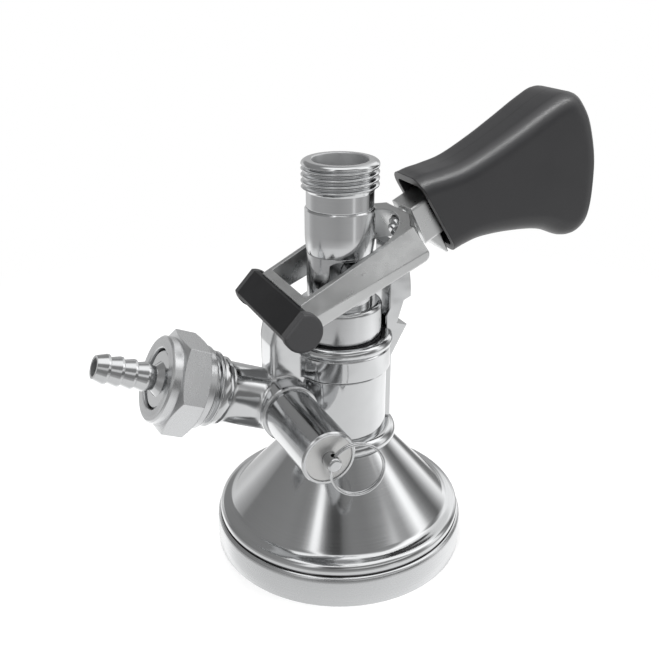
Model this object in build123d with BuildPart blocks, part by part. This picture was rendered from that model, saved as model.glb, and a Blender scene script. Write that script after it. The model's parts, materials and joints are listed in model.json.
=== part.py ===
from build123d import *
import os
from math import atan2, cos, hypot, radians, sin

# Keg coupler with a bell base: a hand lever on a post pushes a hollow probe
# down through the body, gas comes in through a hose tail on one side, and a
# relief valve with a pull ring points at the user. Millimetres, Z up, origin
# on the probe axis at the mouth of the bell, +X towards the hand grip.

# ---- fits and clearances
RUN = 0.05               # radial gap of a running fit
SEAT = 0.02              # gap of a pressed or screwed joint
FREE = 0.3               # gap between parts that pass each other

# ---- bell
MOUTH_R = 38.0           # clear radius of the skirt, the size of the keg's collar
RIM_R = 40.8             # outer radius of the open edge
BEAD_R = 39.7            # outer radius of the rolled bead above the skirt
SKIRT_H = 10.4           # height of the skirt up to the bead
BEAD_H = 3.9             # height of the bead
CONE_FOOT_R = 35.8       # where the cone meets the bead
COLLAR_Z = 36.6          # underside of the rounded collar
COLLAR_H = 5.4           # height of the collar
BELL_WALL = 2.4

# ---- body
BARREL_R = 15.0          # lower barrel
COLLAR_R = BARREL_R + 3.2  # outer radius of the bell's rounded collar
CONE_TOP_R = BARREL_R + 1.4  # where the bell's cone meets the collar
BAND_R = BARREL_R + 1.0  # turned band above the groove
BAND_Z = 62.5            # height of the groove between them
LIP_Z = 70.0             # underside of the lip
LIP_R = BARREL_R + 1.5   # outer radius of the rounded lip
BODY_TOP = 73.4
SPIGOT_R = BARREL_R - 2.5  # neck that passes down inside the bell
SPIGOT_END = 17.0        # its lower end
FLANGE_R = SPIGOT_R + 1.7  # foot that holds the neck seal on the spigot
FLANGE_H = 1.6
PISTON_R = 13.0          # sliding sleeve of the probe
PISTON_FLOOR = 51.4      # bottom of the wide bore
BUSH_R = PISTON_R + 1.4  # guide bush at the top of the bore
BUSH_H = 3.2

# ---- probe
PROBE_END = 14.0         # lowest point of the raised probe
TUBE_R = 8.0             # lower tube
TUBE_BORE_R = 5.0
SPIGOT_BORE_R = TUBE_R + 2.2  # gas space round the tube, inside the spigot
SLEEVE_Z = 66.0          # lower end of the sleeve
SLEEVE_H = 18.0
NECK_R = TUBE_R + 2.0    # tube between the lever arms
STEP_Z = 99.8            # seam of the tube and the barrel
OUTLET_BARREL_R = 10.45
OUTLET_SEAM_Z = 113.3    # seam of the barrel and the beer outlet
OUTLET_TOP = 127.2
OUTLET_NECK_R = 10.0
THREAD_R = 11.455        # G 5/8 crest radius
THREAD_L = 9.2
OUTLET_BORE_R = 8.3
O_RING_R = 1.1           # section radius of the probe's O-rings

# ---- lever, in its own frame: u along the lever, v square to it, from the pivot
LEVER_ANGLE = 27.0       # how far the raised lever stands above the level
LEVER_TRAVEL = 37.0      # how far it swings down
PIVOT_X = -19.0
PIVOT_Z = 83.5
PIVOT_R = 2.5            # pivot pin
KNUCKLE_R = 4.4
POST_W = 10.0            # width of both posts
ARM_IN = 12.9            # half the gap between the arms
ARM_LAND = 14.7          # outer edge of the narrow top land
ARM_OUT = 18.0           # outer face of the arms
ARM_TOP = 6.4
ARM_L = 43.0
ARM_NOSE_R = 2.2         # rounding under the arms' front ends
CROSS_END = 46.4         # outer end of the front crosspiece
WINDOW_START = 5.6
WINDOW_END = 44.6
DRIVE_Z = 95.5           # height of the drive pins when raised
DRIVE_R = 3.25
DRIVE_STEM_R = 2.0
DRIVE_PLAY = 0.2         # room for the drive pins above and below in their slots
SLOT_FLOOR = 7.3         # half the distance between the floors of the slots

# ---- latch and grip slider
LATCH_R = 2.2            # latch bolt
LATCH_V = 1.0            # its height above the lever line
LATCH_NOSE = 41.5        # distance from the pivot to its nose
LATCH_STROKE_IN = 1.2    # how far it snaps in
LATCH_STROKE_OUT = 4.5   # how far the grip pulls out
STEM_R = 4.9             # round guide that carries the shank
STEM_END = 66.0
SHANK_START = 47.8
SHANK_END = 80.0
SHANK_W = 12.0
SHANK_TOP = 6.8
SHANK_BOTTOM = -6.2
GRIP_MOUTH = 53.8
GRIP_L = 59.4            # from the mouth to the far end
GRIP_H = 14.2            # half its height at the mouth
GRIP_W = 19.0
GRIP_ROUND = 5.0

# ---- gas inlet, s along its axis from the probe axis
GAS_TILT = 23.1
GAS_Z = 44.4             # where the axis meets the probe axis
GAS_PIPE_R = 9.3
BRANCH_FILLET = 2.5      # where the gas branch leaves the barrel
GAS_BORE_R = 3.3
NIPPLE_S = 43.0          # seam of the pipe and the threaded nipple
NIPPLE_RING_R = 10.3
NIPPLE_RING_L = 3.0
NIPPLE_END = 56.0
GASKET_T = 1.6
NUT_AF = 27.0            # across the flats
NUT_L = 14.1
NUT_COLLAR_L = 3.7       # round collar behind the hexagon
NUT_FACE_T = 3.2         # wall at the front
NUT_FACE_R = 12.6
TAIL_FLANGE_R = 10.9
TAIL_FLANGE_T = 2.8
TAIL_HUB_R = 8.6
TAIL_TIP = 81.8
TAIL_R = 3.6             # between the barbs
BARB_R = 4.35
BARB_PITCH = 3.9
BARB_COUNT = 4
TAIL_BORE_R = 2.6

# ---- relief valve, along -Y
RELIEF_X = -21.8
RELIEF_Z = 55.0
RELIEF_R = 8.1
RELIEF_BOSS_R = 8.9
RELIEF_BOSS_Y = 12.0     # where the boss ends
RELIEF_END_Y = 39.3
RELIEF_BORE_R = 5.6
RELIEF_CAP_T = 1.6
RELIEF_STEM_R = 2.1
RELIEF_LIFT = 2.5
EYE_Y = 41.2             # centre of the eye in the stem
EYE_R = 1.25
RING_R = 7.6             # pull ring, to the middle of its wire
RING_WIRE_R = 0.45
RING_LEAN = 78.0         # how far the raised ring leans from straight out
EYE_TILT = 66.0          # tilt of the eye's hole above the level


def lever_plane(y=0.0):
    """Plane of the lever's side view, u along x and v along y, at a given Y."""
    return Plane(
        origin=(PIVOT_X, y, PIVOT_Z),
        x_dir=(cos(radians(LEVER_ANGLE)), 0, sin(radians(LEVER_ANGLE))),
        z_dir=(0, -1, 0),
    )


def lever_point(u, y, v):
    a = radians(LEVER_ANGLE)
    return (PIVOT_X + u * cos(a) - v * sin(a), y, PIVOT_Z + u * sin(a) + v * cos(a))


def lever_section(u, v=0.0):
    """Plane square to the lever at a distance u from the pivot, x = Y, y = v."""
    a = radians(LEVER_ANGLE)
    return Plane(
        origin=lever_point(u, 0, v),
        x_dir=(0, 1, 0),
        z_dir=(cos(a), 0, sin(a)),
    )


def gas_plane(s):
    """Plane square to the gas inlet's axis, looking outwards."""
    a = radians(GAS_TILT)
    return Plane(
        origin=(-s * cos(a), 0, GAS_Z + s * sin(a)),
        x_dir=(0, 1, 0),
        z_dir=(-cos(a), 0, sin(a)),
    )


def gas_profile_plane():
    """Half plane through the gas inlet's axis: x across, y along the axis."""
    a = radians(GAS_TILT)
    return Plane(origin=(0, 0, GAS_Z), x_dir=(0, 1, 0), z_dir=(sin(a), 0, cos(a)))


GAS_AXIS = Axis((0, 0, GAS_Z), (-cos(radians(GAS_TILT)), 0, sin(radians(GAS_TILT))))


def relief_plane(y):
    """Plane square to the relief valve's axis, looking outwards along -Y."""
    return Plane(origin=(RELIEF_X, -y, RELIEF_Z), x_dir=(1, 0, 0), z_dir=(0, -1, 0))


RELIEF_AXIS = Axis((RELIEF_X, 0, RELIEF_Z), (0, -1, 0))


def relief_profile_plane():
    """Half plane through the relief valve's axis: x across, y outwards."""
    return Plane(origin=(RELIEF_X, 0, RELIEF_Z), x_dir=(1, 0, 0), z_dir=(0, 0, -1))


def coil(plane, radius, wire_r, length, turns):
    """A coil spring of round wire that stands on a plane."""
    pitch = (length - 2 * wire_r) / turns
    with BuildPart() as spring:
        with BuildLine() as path:
            Helix(
                pitch=pitch,
                height=pitch * turns,
                radius=radius,
                center=plane.offset(wire_r).origin,
                direction=plane.z_dir,
            )
        with BuildSketch(Plane(origin=path.line @ 0, z_dir=path.line % 0)):
            Circle(wire_r)
        sweep(is_frenet=True)
    return spring.part


def save(part, name):
    part.label = name
    export_step(part, "parts/" + name + ".step")


os.makedirs("parts", exist_ok=True)

# ---------------------------------------------------------------- bell
BELL_TOP = COLLAR_Z + COLLAR_H
BEAD_TOP = SKIRT_H + BEAD_H
LEDGE_T = 2.6
with BuildPart() as bell:
    with BuildSketch(Plane.XZ):
        with BuildLine():
            Polyline((MOUTH_R, 0), (RIM_R, 0), (BEAD_R - 0.5, SKIRT_H))
            ThreePointArc(
                (BEAD_R - 0.5, SKIRT_H),
                (BEAD_R, SKIRT_H + BEAD_H * 0.55),
                (BEAD_R - 1.7, BEAD_TOP),
            )
            Polyline((BEAD_R - 1.7, BEAD_TOP), (CONE_FOOT_R, BEAD_TOP), (CONE_TOP_R, COLLAR_Z))
            ThreePointArc(
                (CONE_TOP_R, COLLAR_Z),
                (COLLAR_R, COLLAR_Z + COLLAR_H * 0.55),
                (BARREL_R + 1.2, BELL_TOP),
            )
            Polyline(
                (BARREL_R + 1.2, BELL_TOP),
                (BARREL_R + SEAT, BELL_TOP),
                (BARREL_R + SEAT, COLLAR_Z),
                (SPIGOT_R + SEAT, COLLAR_Z),
                (SPIGOT_R + SEAT, COLLAR_Z - LEDGE_T),
                (CONE_TOP_R - 0.4, COLLAR_Z - LEDGE_T),
                (CONE_FOOT_R - BELL_WALL, BEAD_TOP - BELL_WALL + 0.6),
                (MOUTH_R, SKIRT_H + 0.6),
                (MOUTH_R, 0),
            )
        make_face()
    revolve(axis=Axis.Z)
save(bell.part, "bell")

# ---------------------------------------------------------------- posts of the body
POST_TOP_ANGLE = 23.8    # how far up the latch post's face follows the latch bolt
POST_IN = PISTON_R + 0.7  # inner face of the latch post
POST_HEAD_IN = POST_IN + 1.0
LATCH_FACE_R = LATCH_NOSE - FREE
NOTCH_TOP = 83.0         # underside of the block that the bolt snaps under
NOTCH_TOP_X = 19.8
NOTCH_BOTTOM = 74.9
NOTCH_BOTTOM_X = 17.6
TOOTH_X = 21.2
TOOTH_Z = 73.7
TOOTH_FOOT_Z = 64.6
RIB_X = BARREL_R + 1.2   # outer face of the rib below the tooth
POST_EDGE = 1.2
POST_REAR = PIVOT_X - 5.6  # rear face of the pivot post
arc_top_a = radians(POST_TOP_ANGLE)
arc_low_a = -atan2(PIVOT_Z - NOTCH_TOP, LATCH_FACE_R)
arc_mid_a = (arc_top_a + arc_low_a) / 2


def on_latch_face(a):
    return (PIVOT_X + LATCH_FACE_R * cos(a), PIVOT_Z + LATCH_FACE_R * sin(a))


latch_top_z = on_latch_face(arc_top_a)[1]
with BuildPart() as latch_post:
    with BuildSketch(Plane.XZ.offset(-POST_W / 2)):
        with BuildLine():
            ThreePointArc(on_latch_face(arc_low_a), on_latch_face(arc_mid_a), on_latch_face(arc_top_a))
            Polyline(
                on_latch_face(arc_top_a),
                (POST_HEAD_IN, latch_top_z),
                (POST_HEAD_IN, NOTCH_TOP - 3.5),
                (POST_IN, NOTCH_TOP - 5.5),
                (POST_IN, BELL_TOP + FREE),
                (RIB_X, BELL_TOP + FREE),
                (RIB_X, TOOTH_FOOT_Z),
                (TOOTH_X, TOOTH_Z),
                (NOTCH_BOTTOM_X, NOTCH_BOTTOM),
                (NOTCH_TOP_X, NOTCH_TOP - 1.0),
                on_latch_face(arc_low_a),
            )
        make_face()
    extrude(amount=POST_W)
    fillet(latch_post.edges().filter_by(Axis.Z), POST_EDGE * 0.5)

with BuildPart() as pivot_post:
    with BuildSketch(Plane.XZ.offset(-POST_W / 2)):
        with BuildLine():
            Polyline(
                (PIVOT_X + KNUCKLE_R, PIVOT_Z),
                (PIVOT_X + KNUCKLE_R, PIVOT_Z - 9.5),
                (-BARREL_R + 1.0, PIVOT_Z - 11.5),
                (-BARREL_R + 1.0, RELIEF_Z),
                (POST_REAR, RELIEF_Z),
                (POST_REAR, PIVOT_Z - 2 * KNUCKLE_R),
                (PIVOT_X - KNUCKLE_R, PIVOT_Z - KNUCKLE_R),
                (PIVOT_X - KNUCKLE_R, PIVOT_Z),
            )
            ThreePointArc(
                (PIVOT_X - KNUCKLE_R, PIVOT_Z),
                (PIVOT_X, PIVOT_Z + KNUCKLE_R),
                (PIVOT_X + KNUCKLE_R, PIVOT_Z),
            )
        make_face()
    extrude(amount=POST_W)
    fillet(pivot_post.edges().filter_by(Axis.Z).group_by(Axis.X)[0], POST_EDGE)
    with Locations(Plane(origin=(PIVOT_X, 0, PIVOT_Z), z_dir=(0, -1, 0))):
        Hole(PIVOT_R + RUN, depth=POST_W)

# ---------------------------------------------------------------- body
with BuildPart() as body:
    with BuildSketch(Plane.XZ):
        with BuildLine():
            Polyline(
                (0, SPIGOT_END),
                (FLANGE_R, SPIGOT_END),
                (FLANGE_R, SPIGOT_END + FLANGE_H),
                (SPIGOT_R, SPIGOT_END + FLANGE_H),
                (SPIGOT_R, COLLAR_Z + SEAT),
                (BARREL_R, COLLAR_Z + SEAT),
                (BARREL_R, BAND_Z - 0.5),
                (BARREL_R - 0.4, BAND_Z),
                (BAND_R, BAND_Z + 0.5),
                (BAND_R, LIP_Z - 0.4),
                (BAND_R - 0.4, LIP_Z),
            )
            ThreePointArc(
                (BAND_R - 0.4, LIP_Z),
                (LIP_R, (LIP_Z + BODY_TOP) / 2),
                (BUSH_R + 0.8, BODY_TOP),
            )
            Polyline((BUSH_R + 0.8, BODY_TOP), (0, BODY_TOP), (0, SPIGOT_END))
        make_face()
    revolve(axis=Axis.Z)
    # gas branch and the boss of the relief valve
    with BuildSketch(gas_plane(SPIGOT_BORE_R)):
        Circle(GAS_PIPE_R)
    extrude(amount=NIPPLE_S - SPIGOT_BORE_R)
    fillet(body.edges().filter_by(GeomType.BSPLINE), BRANCH_FILLET)
    with BuildSketch(relief_plane(0)):
        Circle(RELIEF_BOSS_R)
    extrude(amount=RELIEF_BOSS_Y)
    add(pivot_post.part)
    add(latch_post.part)
    # bores for the bush, the sleeve and the gas round the probe
    with BuildSketch(Plane.XY.offset(BODY_TOP)):
        Circle(BUSH_R + SEAT)
    extrude(amount=-BUSH_H, mode=Mode.SUBTRACT)
    with BuildSketch(Plane.XY.offset(BODY_TOP)):
        Circle(PISTON_R + RUN)
    extrude(amount=-(BODY_TOP - PISTON_FLOOR), mode=Mode.SUBTRACT)
    with BuildSketch(Plane.XY.offset(BODY_TOP)):
        Circle(SPIGOT_BORE_R)
    extrude(amount=-(BODY_TOP - SPIGOT_END), mode=Mode.SUBTRACT)
    # gas way, with a wider seat for the check valve at its outer end
    with BuildSketch(gas_plane(SPIGOT_BORE_R - 1)):
        Circle(GAS_BORE_R)
    extrude(amount=NIPPLE_S - SPIGOT_BORE_R + 1, mode=Mode.SUBTRACT)
    # the branches stand just clear of the bell's collar
    with BuildSketch(Plane.XY.offset(BELL_TOP + SEAT)):
        Circle(COLLAR_R + 2)
        Circle(BARREL_R, mode=Mode.SUBTRACT)
    extrude(amount=-(COLLAR_H + SEAT), mode=Mode.SUBTRACT)
    # relief valve chamber and the thread of its housing
    with BuildSketch(relief_plane(0)):
        Circle(RELIEF_BORE_R - 1.6)
    extrude(amount=RELIEF_BOSS_Y, mode=Mode.SUBTRACT)
save(body.part, "body")

# ---------------------------------------------------------------- root trim
with BuildPart() as guide_bush:
    with BuildSketch(Plane.XY.offset(BODY_TOP - BUSH_H + SEAT)):
        Circle(BUSH_R)
        Circle(PISTON_R + RUN, mode=Mode.SUBTRACT)
    extrude(amount=BUSH_H - 0.6)
    chamfer(guide_bush.edges().group_by(Axis.Z)[-1].sort_by(SortBy.RADIUS)[0], 0.4)
save(guide_bush.part, "guide_bush")

LOCK_RING_H = 3.0
LOCK_RING_R = SPIGOT_R + 2.9
with BuildPart() as bell_lock_ring:
    with BuildSketch(Plane.XY.offset(COLLAR_Z - LEDGE_T - SEAT)):
        Circle(LOCK_RING_R)
        Circle(SPIGOT_R + SEAT, mode=Mode.SUBTRACT)
    extrude(amount=-LOCK_RING_H)
    # four slots for the spanner
    with BuildSketch(Plane.XY.offset(COLLAR_Z - LEDGE_T - LOCK_RING_H - SEAT)):
        with PolarLocations(LOCK_RING_R, 4):
            Rectangle(2.4, 3.0)
    extrude(amount=1.4, mode=Mode.SUBTRACT)
save(bell_lock_ring.part, "bell_lock_ring")

SEAL_H = 5.4
SEAL_R = FLANGE_R + 2.8
with BuildPart() as neck_seal:
    seal_z = SPIGOT_END + FLANGE_H + SEAT
    with BuildSketch(Plane.XZ):
        with BuildLine():
            Polyline(
                (SPIGOT_R + SEAT, seal_z),
                (SEAL_R - 1.6, seal_z),
                (SEAL_R, seal_z + 1.8),
                (SEAL_R, seal_z + SEAL_H - 1.2),
                (SEAL_R - 1.2, seal_z + SEAL_H),
                (SPIGOT_R + SEAT, seal_z + SEAL_H),
                (SPIGOT_R + SEAT, seal_z),
            )
        make_face()
    revolve(axis=Axis.Z)
save(neck_seal.part, "neck_seal")

# ---------------------------------------------------------------- gas inlet
NIPPLE_THREAD_R = THREAD_R - 0.05
VALVE_SEAT_R = 5.4
VALVE_SEAT_L = 5.0
NIPPLE_BORE_R = 4.2
with BuildPart() as gas_nipple:
    with BuildSketch(gas_profile_plane()):
        with BuildLine():
            Polyline(
                (NIPPLE_BORE_R, NIPPLE_S + SEAT),
                (NIPPLE_RING_R - 0.5, NIPPLE_S + SEAT),
                (NIPPLE_RING_R, NIPPLE_S + 0.5),
                (NIPPLE_RING_R, NIPPLE_S + NIPPLE_RING_L - 0.6),
                (NIPPLE_RING_R - 0.6, NIPPLE_S + NIPPLE_RING_L),
                (NIPPLE_THREAD_R, NIPPLE_S + NIPPLE_RING_L + 0.6),
                (NIPPLE_THREAD_R, NIPPLE_END - 0.8),
                (NIPPLE_THREAD_R - 0.8, NIPPLE_END),
                (VALVE_SEAT_R, NIPPLE_END),
                (VALVE_SEAT_R, NIPPLE_END - VALVE_SEAT_L),
                (NIPPLE_BORE_R, NIPPLE_END - VALVE_SEAT_L),
                (NIPPLE_BORE_R, NIPPLE_S + SEAT),
            )
        make_face()
    revolve(axis=GAS_AXIS)
save(gas_nipple.part, "gas_nipple")

# duckbill valve: a flanged sleeve that narrows to two lips
with BuildPart() as gas_check_valve:
    with BuildSketch(gas_plane(NIPPLE_END - 1.6)):
        Circle(VALVE_SEAT_R - SEAT)
    extrude(amount=1.6 - SEAT)
    with BuildSketch(gas_plane(NIPPLE_END - 1.6)):
        Circle(NIPPLE_BORE_R - 0.4)
    with BuildSketch(gas_plane(NIPPLE_END - 9.0)):
        Rectangle(1.2, 2 * NIPPLE_BORE_R - 1.8)
    loft()
    with BuildSketch(gas_plane(NIPPLE_END)):
        Circle(NIPPLE_BORE_R - 1.4)
    extrude(amount=-3.5, mode=Mode.SUBTRACT)
save(gas_check_valve.part, "gas_check_valve")

GASKET_S = NIPPLE_END + SEAT
with BuildPart() as gas_gasket:
    with BuildSketch(gas_plane(GASKET_S)):
        Circle(TAIL_FLANGE_R - 0.3)
        Circle(NIPPLE_BORE_R, mode=Mode.SUBTRACT)
    extrude(amount=GASKET_T)
save(gas_gasket.part, "gas_gasket")

FLANGE_S = GASKET_S + GASKET_T + SEAT
NUT_SHOULDER_S = FLANGE_S + TAIL_FLANGE_T + SEAT
NUT_END_S = NUT_SHOULDER_S + NUT_FACE_T
NUT_START_S = NUT_END_S - NUT_L
NUT_COLLAR_R = 12.4
with BuildPart() as union_nut:
    with BuildSketch(gas_plane(NUT_START_S + NUT_COLLAR_L - 0.8)):
        RegularPolygon(NUT_AF / 2, 6, major_radius=False)
    extrude(amount=NUT_L - NUT_COLLAR_L + 0.8)
    # both ends of the hexagon are turned to a cone, and the rear to a collar
    with BuildSketch(gas_profile_plane()):
        with BuildLine():
            Polyline(
                (0, NUT_START_S),
                (NUT_COLLAR_R - 0.5, NUT_START_S),
                (NUT_COLLAR_R, NUT_START_S + 0.5),
                (NUT_COLLAR_R, NUT_START_S + NUT_COLLAR_L - 0.6),
                (NUT_AF / 2 + 2.2, NUT_START_S + NUT_COLLAR_L + 1.0),
                (NUT_AF / 2 + 2.2, NUT_END_S - 2.0),
                (NUT_FACE_R, NUT_END_S),
                (0, NUT_END_S),
                (0, NUT_START_S),
            )
        make_face()
    revolve(axis=GAS_AXIS, mode=Mode.INTERSECT)
    with BuildSketch(gas_plane(NUT_START_S + NUT_COLLAR_L - 0.8)):
        Circle(NUT_COLLAR_R)
    extrude(amount=-(NUT_COLLAR_L - 0.8))
    with BuildSketch(gas_plane(NUT_START_S)):
        Circle(NIPPLE_THREAD_R + SEAT)
    extrude(amount=NUT_L - NUT_FACE_T, mode=Mode.SUBTRACT)
    with BuildSketch(gas_plane(NUT_START_S)):
        Circle(TAIL_HUB_R + 0.7)
    extrude(amount=NUT_L, mode=Mode.SUBTRACT)
save(union_nut.part, "union_nut")

TAIL_START = FLANGE_S
HUB_END = NUT_END_S - 0.8
with BuildPart() as hose_tail:
    with BuildSketch(gas_profile_plane()):
        with BuildLine():
            Polyline(
                (TAIL_BORE_R, TAIL_START),
                (TAIL_FLANGE_R, TAIL_START),
                (TAIL_FLANGE_R, TAIL_START + TAIL_FLANGE_T),
                (TAIL_HUB_R, TAIL_START + TAIL_FLANGE_T),
                (TAIL_HUB_R, HUB_END - 0.5),
                (TAIL_HUB_R - 0.5, HUB_END),
                (TAIL_R + 1.6, HUB_END),
                (TAIL_R, HUB_END + 1.6),
            )
            s = TAIL_TIP - BARB_COUNT * BARB_PITCH
            Line((TAIL_R, HUB_END + 1.6), (TAIL_R, s))
            for i in range(BARB_COUNT):
                foot = s + i * BARB_PITCH
                top = TAIL_R if i < BARB_COUNT - 1 else TAIL_R - 0.2
                Polyline(
                    (TAIL_R, foot),
                    (BARB_R, foot + 0.35),
                    (BARB_R, foot + 1.0),
                    (top, foot + BARB_PITCH),
                )
            Polyline((TAIL_R - 0.2, TAIL_TIP), (TAIL_BORE_R, TAIL_TIP), (TAIL_BORE_R, TAIL_START))
        make_face()
    revolve(axis=GAS_AXIS)
save(hose_tail.part, "hose_tail")

# ---------------------------------------------------------------- relief valve
HOUSING_Y = RELIEF_BOSS_Y + SEAT
with BuildPart() as relief_housing:
    with BuildSketch(relief_profile_plane()):
        with BuildLine():
            Polyline(
                (RELIEF_BORE_R, HOUSING_Y),
                (RELIEF_R - 0.5, HOUSING_Y),
                (RELIEF_R, HOUSING_Y + 0.5),
                (RELIEF_R, RELIEF_END_Y - 0.5),
                (RELIEF_R - 0.4, RELIEF_END_Y),
                (RELIEF_R - 1.1, RELIEF_END_Y),
                (RELIEF_R - 1.1, RELIEF_END_Y - RELIEF_CAP_T),
                (RELIEF_BORE_R, RELIEF_END_Y - RELIEF_CAP_T),
                (RELIEF_BORE_R, HOUSING_Y),
            )
        make_face()
    revolve(axis=RELIEF_AXIS)
save(relief_housing.part, "relief_housing")

with BuildPart() as relief_cap:
    with BuildSketch(relief_plane(RELIEF_END_Y - RELIEF_CAP_T + SEAT)):
        Circle(RELIEF_R - 1.1 - SEAT)
        Circle(RELIEF_STEM_R + RUN, mode=Mode.SUBTRACT)
    extrude(amount=RELIEF_CAP_T - 0.3)
save(relief_cap.part, "relief_cap")

POPPET_R = 4.8
POPPET_T = 1.8
SEAL_DISC_T = 1.4
POPPET_Y = HOUSING_Y + SEAL_DISC_T + 2 * SEAT
STEM_END_Y = EYE_Y + 2.2
with BuildPart() as relief_stem:
    with BuildSketch(relief_plane(POPPET_Y)):
        Circle(POPPET_R)
    extrude(amount=POPPET_T)
    with BuildSketch(relief_plane(POPPET_Y)):
        Circle(RELIEF_STEM_R)
    extrude(amount=STEM_END_Y - POPPET_Y)
    fillet(relief_stem.faces().sort_by(Axis.Y)[0].edges(), 0.8)
    with Locations(
        Plane(
            origin=(RELIEF_X, -EYE_Y, RELIEF_Z),
            z_dir=(cos(radians(EYE_TILT)), 0, sin(radians(EYE_TILT))),
        )
    ):
        Hole(EYE_R, depth=4 * RELIEF_STEM_R)
save(relief_stem.part, "relief_stem")

with BuildPart() as relief_seal:
    with BuildSketch(relief_plane(HOUSING_Y + SEAT)):
        Circle(POPPET_R)
    extrude(amount=SEAL_DISC_T)
save(relief_seal.part, "relief_seal")

SPRING_WIRE = 0.45
relief_spring = coil(
    relief_plane(POPPET_Y + POPPET_T + SEAT),
    RELIEF_STEM_R + 0.4 + SPRING_WIRE,
    SPRING_WIRE,
    RELIEF_END_Y - RELIEF_CAP_T - RELIEF_LIFT - POPPET_Y - POPPET_T - 3 * SEAT,
    7,
)
save(relief_spring, "relief_spring")

# pull ring: two turns of wire side by side, threaded through the eye
tilt = radians(EYE_TILT)
lean = radians(RING_LEAN)
hole_dir = Vector(cos(tilt), 0, sin(tilt))
ring_out = Vector(sin(tilt) * sin(lean), -cos(lean), -cos(tilt) * sin(lean))
ring_axis = hole_dir.cross(ring_out)
ring_centre = Vector(RELIEF_X, -EYE_Y, RELIEF_Z) + ring_out * RING_R
with BuildPart() as pull_ring:
    for side in (-1, 1):
        with BuildSketch(Plane(origin=ring_centre, x_dir=ring_out, z_dir=hole_dir)):
            with Locations((RING_R, side * (RING_WIRE_R - 0.02))):
                Circle(RING_WIRE_R)
        revolve(axis=Axis(ring_centre, ring_axis))
save(pull_ring.part, "pull_ring")

# ---------------------------------------------------------------- probe
DRIVE_START_A = atan2(DRIVE_Z - PIVOT_Z, -PIVOT_X)
DRIVE_RADIUS = hypot(DRIVE_Z - PIVOT_Z, PIVOT_X)
DRIVE_END_A = DRIVE_START_A - radians(LEVER_TRAVEL)
# the pins run a little above the straight line half way, so the slots sit higher
mid_rise = DRIVE_RADIUS * sin((DRIVE_START_A + DRIVE_END_A) / 2)
mid_rise -= DRIVE_RADIUS * (sin(DRIVE_START_A) + sin(DRIVE_END_A)) / 2
SLOT_Z = DRIVE_Z + mid_rise / 2
SLOT_H = 2 * (DRIVE_R + DRIVE_PLAY)
SLOT_REACH = DRIVE_RADIUS + PIVOT_X + 0.6
BEER_R = TUBE_BORE_R
with BuildPart() as probe_tube:
    with BuildSketch(Plane.XZ):
        with BuildLine():
            Polyline(
                (BEER_R, PROBE_END),
                (TUBE_R - 1.4, PROBE_END),
                (TUBE_R - 1.4, PROBE_END + 3.0),
                (TUBE_R, PROBE_END + 3.0),
                (TUBE_R, SLEEVE_Z + 2.0),
                (TUBE_R + 1.2, SLEEVE_Z + 2.0),
                (TUBE_R + 1.2, SLEEVE_Z + SLEEVE_H - 4.0),
                (NECK_R, SLEEVE_Z + SLEEVE_H - 4.0),
                (NECK_R, STEP_Z),
                (BEER_R, STEP_Z),
                (BEER_R, PROBE_END),
            )
        make_face()
    revolve(axis=Axis.Z)
    # a round-ended slot on each side for the drive pins
    for side in (-1, 1):
        with BuildSketch(Plane.XZ.offset(side * SLOT_FLOOR)):
            with Locations((0, SLOT_Z)):
                SlotCenterToCenter(2 * SLOT_REACH, SLOT_H)
        extrude(amount=side * NECK_R, mode=Mode.SUBTRACT)
save(probe_tube.part, "probe_tube")

SLEEVE_TOP = SLEEVE_Z + SLEEVE_H
GROOVE_Z = SLEEVE_Z + 2.4
with BuildPart() as probe_sleeve:
    with BuildSketch(Plane.XZ):
        with BuildLine():
            Polyline(
                (TUBE_R + SEAT, SLEEVE_Z),
                (PISTON_R - 0.5, SLEEVE_Z),
                (PISTON_R, SLEEVE_Z + 0.5),
                (PISTON_R, GROOVE_Z - O_RING_R),
                (PISTON_R - 1.8, GROOVE_Z - O_RING_R),
                (PISTON_R - 1.8, GROOVE_Z + O_RING_R),
                (PISTON_R, GROOVE_Z + O_RING_R),
                (PISTON_R, SLEEVE_TOP - 1.4),
            )
            ThreePointArc(
                (PISTON_R, SLEEVE_TOP - 1.4),
                (PISTON_R - 0.4, SLEEVE_TOP - 0.4),
                (PISTON_R - 1.4, SLEEVE_TOP),
            )
            Polyline(
                (PISTON_R - 1.4, SLEEVE_TOP),
                (NECK_R + SEAT, SLEEVE_TOP),
                (NECK_R + SEAT, SLEEVE_TOP - 4.0 - SEAT),
                (TUBE_R + 1.2 + SEAT, SLEEVE_TOP - 4.0 - SEAT),
                (TUBE_R + 1.2 + SEAT, SLEEVE_Z + 2.0 - SEAT),
                (TUBE_R + SEAT, SLEEVE_Z + 2.0 - SEAT),
                (TUBE_R + SEAT, SLEEVE_Z),
            )
        make_face()
    revolve(axis=Axis.Z)
save(probe_sleeve.part, "probe_sleeve")

with BuildPart() as sleeve_o_ring:
    with BuildSketch(Plane.XZ):
        with Locations((PISTON_R - 0.72, GROOVE_Z)):
            Ellipse(0.72, O_RING_R - SEAT)
    revolve(axis=Axis.Z)
save(sleeve_o_ring.part, "sleeve_o_ring")

PROBE_SEAL_R = TUBE_R - 0.2
with BuildPart() as probe_seal:
    with BuildSketch(Plane.XZ):
        with BuildLine():
            Polyline(
                (TUBE_R - 1.4 + SEAT, PROBE_END + 0.2),
                (PROBE_SEAL_R - 0.9, PROBE_END + 0.2),
                (PROBE_SEAL_R, PROBE_END + 1.1),
                (PROBE_SEAL_R, PROBE_END + 3.0 - SEAT),
                (TUBE_R - 1.4 + SEAT, PROBE_END + 3.0 - SEAT),
                (TUBE_R - 1.4 + SEAT, PROBE_END + 0.2),
            )
        make_face()
    revolve(axis=Axis.Z)
save(probe_seal.part, "probe_seal")

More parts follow.
